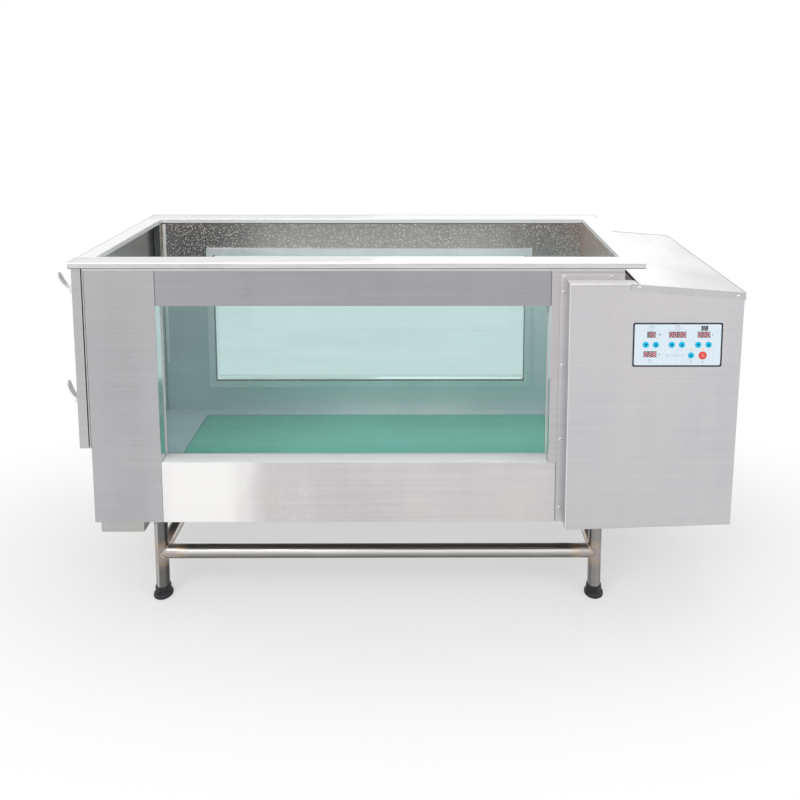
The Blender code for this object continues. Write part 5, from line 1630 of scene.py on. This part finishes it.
@dataclass
class DoorDresser(Dresser):
    """The door, its seal, hinge and latches."""

    hem: float = 0.011
    hem_inset: float = 0.003
    hinge_screws: int = 6
    pin_share: float = 0.6
    latch_standoff: float = 0.009
    latch_above: float = 0.012
    lever_steps: int = 26
    lever_root: float = 0.018
    lever_tip: float = 0.022
    lever_thick: float = 0.0055
    lever_round: float = 0.20
    hub_half: float = 0.0097

    def build(self) -> None:
        """Builds and dresses the door."""
        self.dress(DOOR_SHEET, "door_panel")
        self.dress(SEAL_RUBBER, "door_gasket")
        self.dress(CHROME, "latch_bracket_upper", "latch_bracket_lower")
        self.dress(HINGE_STEEL, "hinge_frame_leaf", "hinge_door_leaf")
        self._hem()
        self._hinge_details()
        for which in ("upper", "lower"):
            self._latch(which)

    def _hem(self) -> None:
        """The folded hem round the door's outer face and the dark fold along its cap, a painted
        edge shade.
        """
        low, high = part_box("door_panel")
        x, top = low.x + 0.0010, high.z - 0.0006
        self.bead("cap_bead", [(x, low.y + 0.052, top), (x, high.y - 0.051, top)], 0.0007,
                  "door")
        wall_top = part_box("front_header")[1].z
        outer, inner = (rounded(((low.y + high.y) / 2, (low.z + wall_top) / 2),
                                high.y - low.y - 2 * inset, wall_top - low.z - 2 * inset,
                                0.002, 3)
                        for inset in (self.hem_inset, self.hem_inset + self.hem))
        self.fit(MeshMaker("door_hem").plate(outer, low.x - 0.0002, low.x + 0.0006, "X", inner),
                 DOOR_SHEET, "door")

    def _hinge_details(self) -> None:
        """A round hinge pin and countersunk screws in both leaves."""
        low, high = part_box("hinge_pin")
        head = (high.x - low.x) / 2
        end = [(0.0, 0.0), (head * 0.7, 0.0), (head, 0.0007), (head, 0.002),
               (head * self.pin_share, 0.002)]
        profile = ([(radius, high.z - rise) for radius, rise in end]
                   + [(radius, low.z + rise) for radius, rise in reversed(end)])
        self.fit(MeshMaker("hinge_pin_turned").turned(
            profile, (*middle("hinge_pin").xy, 0.0), sides=24), CHROME, node="hinge_pin")
        screw = Fastener(0.0042, 0.0007, countersunk=True)
        for name, body, facing, seats in (
                ("frame", "tank", Facing.REAR, ((0.0455, 0.0020), (0.0575, 0.0020))),
                ("door", "door", Facing.LEFT, ((0.0115, 0.014), (0.0115, 0.026)))):
            low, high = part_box(f"hinge_{name}_leaf")
            pitch = (high.z - low.z) / self.hinge_screws
            screw.set_in(f"hinge_{name}_screws", [
                ((low.x + seats[k % 2][0], low.y + seats[k % 2][1], low.z + pitch * (k + 0.5)),
                 facing) for k in range(self.hinge_screws)], self, body)

    def _latch(self, which: str) -> None:
        """A curved lever with its hub, pin and bracket screw.

        Args:
            which: upper or lower.
        """
        node = "latch_lever_" + which
        low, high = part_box(node)
        bracket_low, bracket_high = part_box("latch_bracket_" + which)
        pivot = Vector((bracket_high.x - self.latch_standoff, (low.y + high.y) / 2,
                        bracket_high.z - self.latch_above))
        tip = Vector((low.x - pivot.x + 0.0008, 0.0, high.z - pivot.z - 0.0008))
        knee = Vector((tip.x * 0.8, 0.0, tip.z * 0.28))
        maker = MeshMaker(f"latch_lever_{which}_strip")
        rings = []
        for step in range(self.lever_steps + 1):
            t = step / self.lever_steps
            point = pivot + knee * (2 * t * (1 - t)) + tip * (t * t)
            ahead = (knee * (2 - 4 * t) + tip * (2 * t)).normalized()
            end = max(0.0, (t - 1.0 + self.lever_round) / self.lever_round)
            half = (self.lever_root + (self.lever_tip - self.lever_root) * t) / 2
            half *= math.sqrt(max(1.0 - end * end, 0.03))
            skin = self.lever_thick / 2 * (1.0 - 0.25 * end)
            rings.append(maker.row([
                point + Vector((0.0, half * math.copysign(abs(c) ** 0.35, c), 0.0))
                + Vector((-ahead.z, 0.0, ahead.x)) * (skin * math.copysign(abs(s) ** 0.6, s))
                for c, s in spokes(20)]))
        maker.skinned(rings)
        hub = self.hub_half
        maker.turned([(0.0, -hub), (0.0054, -hub), (0.006, 0.0006 - hub), (0.006, hub - 0.0006),
                      (0.0054, hub), (0.0, hub)], pivot, "Y", 28)
        maker.turned([(0.0, -0.015), (0.0032, -0.015), (0.0042, -0.0144), (0.0042, -0.0134),
                      (0.003, -0.0132), (0.003, 0.0132), (0.0042, 0.0134), (0.0042, 0.0144),
                      (0.0032, 0.015), (0.0, 0.015)], pivot, "Y", 24)
        self.fit(maker, CHROME, which + "_latch", node, smooth=50.0)
        seat = (bracket_high.x - 0.0024, pivot.y, bracket_low.z + 0.0055)
        Fastener(0.0030, 0.0012).set_in(f"latch_{which}_screws", [(seat, Facing.LEFT)], self,
                                        "door")


# The treadmill and its drive


@dataclass
class TreadmillDresser(Dresser):
    """Rollers, belt, deck, rails, covers, pulleys and motor."""

    splice: Pair = (0.12, 0.20)
    splice_half: float = 0.006
    bolt_radius: float = 0.006
    bolt_below: float = 0.011
    motor_axis: float = 0.07835
    fins: int = 20
    fin_half: float = 0.0012
    fin_radii: Pair = (0.0605, 0.0655)
    fin_ends: Pair = (0.190, 0.060)

    def build(self) -> None:
        """Builds and dresses the treadmill and its drive."""
        self.dress(LINING_SHEET, "belt_rail_front", "belt_rail_rear", "belt_cover_left",
                   "belt_cover_right")
        self.dress(DECK, "running_deck")
        self.dress(BELT_WEB, "walking_belt")
        self.dress(PULLEY_METAL, "driven_pulley", "motor_pulley")
        self.dress(BELT_RUBBER, "drive_belt")
        self.dress(MOTOR_PAINT, "gear_motor")
        self.dress(ROLLER_STEEL, "idler_roller", "drive_roller")
        self._tension_bolts()
        self._cover_screws()
        self._belt_splice()
        self._motor_fins()

    def _tension_bolts(self) -> None:
        """The idler's tension bolts in the rails' left ends."""
        x = middle("idler_roller").x
        for end in ("front", "rear"):
            rail = "belt_rail_" + end
            head = circle((middle(rail).y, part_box(rail)[1].z - self.bolt_below),
                          self.bolt_radius, 6)
            self.fit(MeshMaker("tension_bolt_" + end).plate(head, x - 0.024, x - 0.018, "X"),
                     SCREW_STEEL)

    def _cover_screws(self) -> None:
        """Screws that hold the belt's end covers."""
        screw = Fastener(0.0042, 0.0018)
        for side, off in (("left", -0.02), ("right", 0.01)):
            low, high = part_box("belt_cover_" + side)
            x = (low.x + high.x) / 2 + off
            screw.set_in(f"belt_cover_{side}_screws",
                         [((x, y, high.z), Facing.TOP) for y in (low.y + 0.018, high.y - 0.018)],
                         self)

    def _belt_splice(self) -> None:
        """The slanted splice across the belt."""
        low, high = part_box("walking_belt")
        start, end = (Vector((x, y, high.z))
                      for x, y in zip(self.splice, (low.y + 0.001, high.y - 0.001)))
        half = self.splice_half
        strip = [(-half, -0.0002), (half, -0.0002), (half - 0.001, 0.00035),
                 (0.001 - half, 0.00035)]
        self.fit(MeshMaker("belt_splice").swept([start, start.lerp(end, 0.5), end],
                                                lambda share: strip), BELT_WEB)

    def _motor_fins(self) -> None:
        """Cooling fins along the motor's body."""
        low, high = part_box("gear_motor")
        maker = MeshMaker("motor_fins")
        near, far = self.fin_radii
        for c, s in spokes(self.fins):
            out, side = Vector((c, 0.0, s)), Vector((-s, 0.0, c)) * self.fin_half
            maker.skinned([maker.row([
                Vector((low.x + self.motor_axis, high.y - back, (low.z + high.z) / 2))
                + out * reach + side * way
                for reach, way in ((near, -1.0), (near, 1.0), (far, 1.0), (far, -1.0))])
                for back in self.fin_ends])
        self.fit(maker, MOTOR_PAINT)


# The housing


@dataclass
class HousingDresser(Dresser):
    """Drive cover, control housing, lid and their screws."""

    screw: Fastener = Fastener(0.0052, 0.0026)
    cover_screws: tuple[Pair, ...] = ((0.0107, 0.9705), (0.0095, 0.926), (0.0095, 0.7135),
                                      (0.0095, 0.494), (0.0095, 0.2865), (0.1422, 0.9715))
    gland_place: Pair = (0.20335, 0.253)
    gland_radius: float = 0.0112
    gland_ribs: int = 12
    hem_rise: float = 0.0155
    flange_sheet: float = 0.0015
    flange_screw_pitch: float = 0.152
    bend_radius: float = 0.0014

    def build(self) -> None:
        """Builds and dresses the housing."""
        self.dress(HOUSING_SHEET, "drive_cover", "control_housing")
        self.dress(LID_SHEET, "housing_lid")
        self._cover_screws()
        self._lid_screws()
        self._gland()
        self._cover_hem()
        self._rear_flange()
        self._lid_details()
        self._bends()

    def _cover_screws(self) -> None:
        """The pan-head screws in the cover's flanges."""
        low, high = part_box("drive_cover")
        self.screw.set_in("cover_flange_screws",
                          [((low.x + across, high.y - 0.002, level), Facing.FRONT)
                           for across, level in self.cover_screws], self)

    def _lid_screws(self) -> None:
        """Screws through the lid's lips in front, behind and at the right."""
        low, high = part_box("housing_lid")
        left, right, drop = low.x + 0.022, high.x - 0.022, high.z - 0.0352
        self.screw.set_in("lid_screws", [
            ((left, low.y, high.z - 0.0115), Facing.FRONT), ((right, low.y, drop), Facing.FRONT),
            ((low.x + 0.060, high.y, high.z - 0.0150), Facing.REAR),
            ((right, high.y, drop), Facing.REAR),
            ((high.x, low.y + 0.10, high.z - 0.0350), Facing.RIGHT),
            ((high.x, high.y - 0.10, high.z - 0.0350), Facing.RIGHT)], self)

    def _gland(self) -> None:
        """The cable gland's ribbed clamping cap under the housing."""
        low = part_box("control_housing")[0]
        radius, centre = self.gland_radius, (low.x + self.gland_place[0], self.gland_place[1])
        cap = MeshMaker("gland_cap")
        cap.turned([(0.0, 0.0), (0.0088, 0.0), (0.0105, 0.0016), (radius, 0.010),
                    (radius, 0.0135), (0.0, 0.0135)], (*centre, low.z), sides=36)
        for x, y in circle(centre, radius, self.gland_ribs):
            cap.box((x - 0.0007, y - 0.0007, low.z + 0.003),
                    (x + 0.0007, y + 0.0007, low.z + 0.013), 0.0003)
        self.fit(cap, GLAND_NYLON)

    def _cover_hem(self) -> None:
        """The folded hem along the cover's rising underside."""
        low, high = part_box("drive_cover")
        y, z = low.y + 0.0003, low.z + 0.0012
        start, end = Vector((low.x + 0.021, y, z)), Vector((high.x - 0.013, y, z + self.hem_rise))
        fold = rectangle((-0.0006, 0.0006), (-0.0007, 0.0007))
        self.fit(MeshMaker("cover_base_hem").swept([start, start.lerp(end, 0.5), end],
                                                   lambda share: fold), FOLD_STEEL)

    def _rear_flange(self) -> None:
        """The fold that closes the housing on to the rear wall, with its screws."""
        low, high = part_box("control_housing")
        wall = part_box("rear_wall")[1]
        near, edge = wall.y + 0.0002, low.x + self.flange_sheet
        bottom, top = low.z + 0.004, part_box("housing_lid")[0].z + 0.030
        flange = MeshMaker("housing_rear_flange")
        flange.box((low.x, near, bottom), (edge, high.y - 0.0012, top), 0.0004)
        flange.box((wall.x - 0.020, near, bottom), (edge, near + self.flange_sheet, top), 0.0004)
        self.fit(flange, HOUSING_SHEET)
        self.screw.set_in("rear_flange_screws",
                          [((wall.x - 0.0095, near + self.flange_sheet,
                             bottom + 0.03 + k * self.flange_screw_pitch), Facing.REAR)
                           for k in range(5)], self)

    def _lid_details(self) -> None:
        """Dark folds on the lid's far edges as painted edge shade, and the strip closing the gap
        beside it.
        """
        lid, (front, back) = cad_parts["housing_lid"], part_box("housing_lid")
        corners = [lid.matrix_world @ corner.co for corner in lid.data.vertices]
        tops = [place for place in corners if place.y > back.y - 0.001]
        low = min(tops, key=lambda place: (round(place.x, 3), -place.z))
        high = max(tops, key=lambda place: (round(place.x, 3), place.z))
        rear, right, level = high.y - 0.0008, high.x - 0.0008, high.z - 0.0003
        self.bead("lid_bead", [(low.x, rear, low.z - 0.0003),
                               (high.x - 0.0030, rear, high.z - 0.0001),
                               (right, rear - 0.003, level), (right, front.y + 0.003, level)],
                  0.0011)
        near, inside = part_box("drive_cover")[1].y + 0.0015, high.y - 0.0045
        left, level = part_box("rear_wall")[1].x + 0.0002, low.z - 0.0065
        strip = MeshMaker("housing_gap_strip")
        strip.box((left, near, level), (low.x + 0.0014, inside, level + 0.0012), 0.0003)
        strip.box((low.x + 0.0002, near, level), (low.x + 0.0014, inside, low.z - 0.0021), 0.0003)
        self.fit(strip, DARK_STEEL_AND_EDGE_SHADE)

    def _bends(self) -> None:
        """The round bends of the cover's front at its left edge and along its top."""
        low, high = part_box("drive_cover")
        left, top, y = low.x + 0.0197, high.z - 0.019, low.y + 0.0007
        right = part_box("control_housing")[0].x + 0.004
        path = [(left, y, low.z + 0.001), (left, y, top - 0.003),
                (left + 0.0023, y, top - 0.0007), (right, y, top - 0.0007)]
        self.fit(MeshMaker("cover_bends").swept(path, ring_section(self.bend_radius),
                                                up=(0.0, -1.0, 0.0)), BEND_STEEL)


# The keypad


class Segment(Enum):
    """A digit's seven bars: centre in shares of its half size, and whether it lies level."""

    TOP = (0.0, 1.0, True)
    TOP_RIGHT = (1.0, 0.5, False)
    LOW_RIGHT = (1.0, -0.5, False)
    BOTTOM = (0.0, -1.0, True)
    LOW_LEFT = (-1.0, -0.5, False)
    TOP_LEFT = (-1.0, 0.5, False)
    MIDDLE = (0.0, 0.0, True)


DIGITS = {"0": "TOP TOP_RIGHT LOW_RIGHT BOTTOM LOW_LEFT TOP_LEFT",
          "1": "TOP_RIGHT LOW_RIGHT",
          "2": "TOP TOP_RIGHT MIDDLE LOW_LEFT BOTTOM",
          "3": "TOP TOP_RIGHT MIDDLE LOW_RIGHT BOTTOM",
          "5": "TOP TOP_LEFT MIDDLE LOW_RIGHT BOTTOM",
          "8": "TOP TOP_RIGHT LOW_RIGHT BOTTOM LOW_LEFT TOP_LEFT MIDDLE"}


class Sign(Enum):
    """A key's sign, as corners in shares of its half size."""

    UP = ((-1.0, -0.7), (1.0, -0.7), (0.0, 1.0))
    DOWN = ((-1.0, 0.7), (0.0, -1.0), (1.0, 0.7))
    START = ((-0.6, -1.0), (1.0, 0.0), (-0.6, 1.0))
    STOP = ((-0.7, -0.7), (0.7, -0.7), (0.7, 0.7), (-0.7, 0.7))


@dataclass(frozen=True)
class Readout:
    """One display window: its centre from the keypad's centre, its width and its digits."""

    x: float
    z: float
    width: float
    shows: str


@dataclass(frozen=True)
class Key:
    """One key: its body, its centre from the keypad's centre and its sign."""

    name: str
    x: float
    z: float
    sign: Sign


@dataclass
class KeypadDresser(Dresser):
    """The control keypad: film, border, displays, signs, lamps and keys."""

    readout_height: float = 0.0166
    border: float = 0.0046
    digit_width: float = 0.0036
    digit_lean: float = 0.12
    mark_step: float = 0.0058
    key_step: float = 0.0012
    sign_share: float = 0.46
    readouts: tuple[Readout, ...] = (
        Readout(-0.0733, 0.029, 0.0226, "15"), Readout(-0.0009, 0.029, 0.047, "0030"),
        Readout(0.072, 0.029, 0.0343, "030"), Readout(-0.0757, -0.027, 0.0354, "028"))
    lamps: tuple[Pair, ...] = ((0.0390, -0.0130), (0.0715, -0.0130))
    keys: tuple[Key, ...] = (
        Key("time_down", -0.0879, 0.0, Sign.DOWN), Key("time_up", -0.0600, 0.0, Sign.UP),
        Key("speed_down", -0.0159, 0.0, Sign.DOWN), Key("speed_up", 0.0120, 0.0, Sign.UP),
        Key("heat_down", 0.0571, 0.0, Sign.DOWN), Key("heat_up", 0.0859, 0.0, Sign.UP),
        Key("start", 0.0383, -0.0305, Sign.START), Key("stop", 0.0706, -0.0305, Sign.STOP))

    def __post_init__(self) -> None:
        """Reads the keypad's centre, size and front from its node."""
        self.low, self.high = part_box("control_panel")
        self.centre, self.front = middle("control_panel"), self.low.y

    def build(self) -> None:
        """Builds and dresses the keypad."""
        self.dress(FILM, "control_panel")
        self.dress(BOARD, "display_board")
        self._border()
        for number, readout in enumerate(self.readouts):
            self._readout(number, readout)
        self._printed_signs()
        self._lamps()
        for key in self.keys:
            self._key(key)

    def _at(self, x: float, z: float) -> Pair:
        """A place from the keypad's centre, in the frame."""
        return self.centre.x + x, self.centre.z + z

    def _border(self) -> None:
        """The dark printed border with round corners."""
        width, height = self.high.x - self.low.x, self.high.z - self.low.z
        outer, inner = (rounded(self._at(0.0, 0.0), width - 2 * inset, height - 2 * inset,
                                radius, 8)
                        for inset, radius in ((0.0002, 0.0048), (self.border, 0.0040)))
        self.fit(MeshMaker("keypad_border").plate(outer, self.front - 0.00025,
                                                  self.front + 0.0002, hole=inner),
                 PRINT_BLACK)

    def _readout(self, number: int, readout: Readout) -> None:
        """One display's lens and digits.

        Args:
            number: The display's number.
            readout: Its place and digits.
        """
        x, z = self._at(readout.x, readout.z)
        width, height = readout.width, self.readout_height
        lens = MeshMaker(f"display_lens_{number}")
        lens.plate(rounded((x, z), width, height, 0.0008, 2), self.front - 0.0002,
                   self.front + 0.0007)
        self.fit(lens, LENS)
        lit, dim = MeshMaker(f"display_digits_{number}"), MeshMaker(f"display_blanks_{number}")
        pitch = width / len(readout.shows)
        for k, digit in enumerate(readout.shows):
            centre = (x - width / 2 + pitch * (k + 0.5), z)
            self._digit(digit, centre, min(pitch * 0.30, self.digit_width), height * 0.36, lit,
                        dim)
        self.fit(lit, LIT_SEGMENT)
        self.fit(dim, DIM_SEGMENT)

    def _digit(self, digit: str, centre: Pair, half_width: float, half_height: float,
               lit: MeshMaker, dim: MeshMaker) -> None:
        """One digit's seven bars.

        Args:
            digit: The digit.
            centre: Its centre.
            half_width: Half its width.
            half_height: Half its height.
            lit: Takes the lit bars.
            dim: Takes the others.
        """
        thick, lean = half_width * 0.26, half_width * self.digit_lean
        for bar in Segment:
            across, up, level = bar.value
            reach = (half_width if level else half_height / 2) - thick * 0.9
            tip = reach - thick
            if level:
                points = [(-reach, 0.0), (-tip, -thick), (tip, -thick), (reach, 0.0),
                          (tip, thick), (-tip, thick)]
            else:
                points = [(-lean / 2, -reach), (thick - lean / 3, -tip), (thick + lean / 3, tip),
                          (lean / 2, reach), (lean / 3 - thick, tip), (-thick - lean / 3, -tip)]
            x = centre[0] + across * half_width + up * lean
            z = centre[1] + up * half_height
            maker = lit if bar.name in DIGITS[digit].split() else dim
            maker.plate([(x + a, z + b) for a, b in points], self.front - 0.0003,
                        self.front - 0.00018)

    def _printed_signs(self) -> None:
        """Plain printed marks: a clock, a dial, heating bars, a scale and small signs."""
        grey, black = MeshMaker("keypad_signs"), MeshMaker("keypad_heat_sign")
        levels = (self.front - 0.0002, self.front + 0.0001)

        def ring(x: float, z: float, radius: float, line: float) -> None:
            """Adds a printed circle."""
            centre = self._at(x, z)
            grey.plate(circle(centre, radius), *levels, hole=circle(centre, radius - line))

        def bars(maker: MeshMaker, *places: tuple[float, float, float, float]) -> None:
            """Adds printed bars.

            Args:
                maker: Takes the bars.
                places: Each bar's centre, width and height.
            """
            for across, up, width, height in places:
                x, z = self._at(across, up)
                maker.plate(rectangle((x - width / 2, x + width / 2),
                                      (z - height / 2, z + height / 2)), *levels)

        ring(-0.0735, 0.0485, 0.0072, 0.0007)
        ring(-0.0009, 0.0485, 0.0072, 0.0007)
        ring(-0.0757, -0.0460, 0.0048, 0.0006)
        bars(grey, (-0.0735, 0.0505, 0.0009, 0.0048), (-0.0718, 0.0485, 0.0042, 0.0009),
             (-0.0009, 0.0485, 0.0009, 0.0060), (-0.0757, -0.0460, 0.0040, 0.0008))
        bars(grey, *((0.0052 * c - 0.0009, 0.0485 + 0.0052 * s, 0.0008, 0.0008)
                     for c, s in arc(26.0, 154.0, 4)))
        bars(grey, *((x, z, 0.0028, 0.0034) for x, z in (
            (-0.0520, 0.0290), (-0.0480, 0.0290), (0.0965, 0.0290), (-0.0500, -0.0270),
            (0.0383, -0.0475), (0.0706, -0.0485))))
        bars(grey, *((self.mark_step * k - 0.0290, -0.0305, 0.0007, 0.0052 if k % 4 else 0.0095)
                     for k in range(9)))
        bars(black, (0.0662, 0.0480, 0.0037, 0.0128), (0.0712, 0.0486, 0.0037, 0.0116),
             (0.0762, 0.0480, 0.0037, 0.0128), (0.0806, 0.0486, 0.0037, 0.0116),
             (0.0734, 0.0407, 0.0180, 0.0012))
        self.fit(grey, PRINT_GREY)
        self.fit(black, PRINT_BLACK)

    def _lamps(self) -> None:
        """The two small orange lamps."""
        maker = MeshMaker("keypad_lamps")
        for x, z in (self._at(*place) for place in self.lamps):
            maker.turned([(0.0, 0.0009), (0.0012, 0.0008), (0.0020, 0.0005), (0.0023, 0.0),
                          (0.0023, -0.0004), (0.0, -0.0004)], (x, self.front, z), "-Y", 20)
        self.fit(maker, LED_ORANGE)

    def _key(self, key: Key) -> None:
        """One round key with its printed sign.

        Args:
            key: Its body, place and sign.
        """
        node = "key_" + key.name
        low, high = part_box(node)
        foot = (high.x - low.x) / 2
        radius, proud, depth = foot - self.key_step, self.front - low.y, high.y - self.front
        x, z = self._at(key.x, key.z)
        profile = [(0.0, proud)]
        profile += [(radius * s ** 0.8, proud * (0.12 + 0.88 * c ** 0.6))
                    for c, s in arc(0.0, 90.0, 7)[1:-1]]
        profile += [(radius, 0.0), (radius, -0.0023), (foot, -0.0023), (foot, -0.0035),
                    (0.003, -0.0035), (0.003, -depth), (0.0, -depth)]
        cap, mark = ((RED_KEY, STOP_MARK) if key.sign is Sign.STOP else (BLUE_KEY, KEY_MARK))
        self.fit(MeshMaker(node + "_cap").turned(profile, (x, self.front, z), "-Y", 40), cap,
                 key.name, node)
        size = radius * self.sign_share
        self.fit(MeshMaker(node + "_sign").plate(
            [(x + a * size, z + b * size) for a, b in key.sign.value], low.y - 0.00012,
            low.y + 0.0004), mark, key.name)


def main() -> None:
    """Builds the studio and dresses every sub-assembly in order."""
    logging.basicConfig(level=logging.INFO, format="%(message)s")
    Studio().build()
    for dresser in (StandDresser(), TankDresser(), DoorDresser(), TreadmillDresser(),
                    HousingDresser(), KeypadDresser()):
        dresser.build()
        log.info("%s done", type(dresser).__name__)


if __name__ == "__main__":
    main()
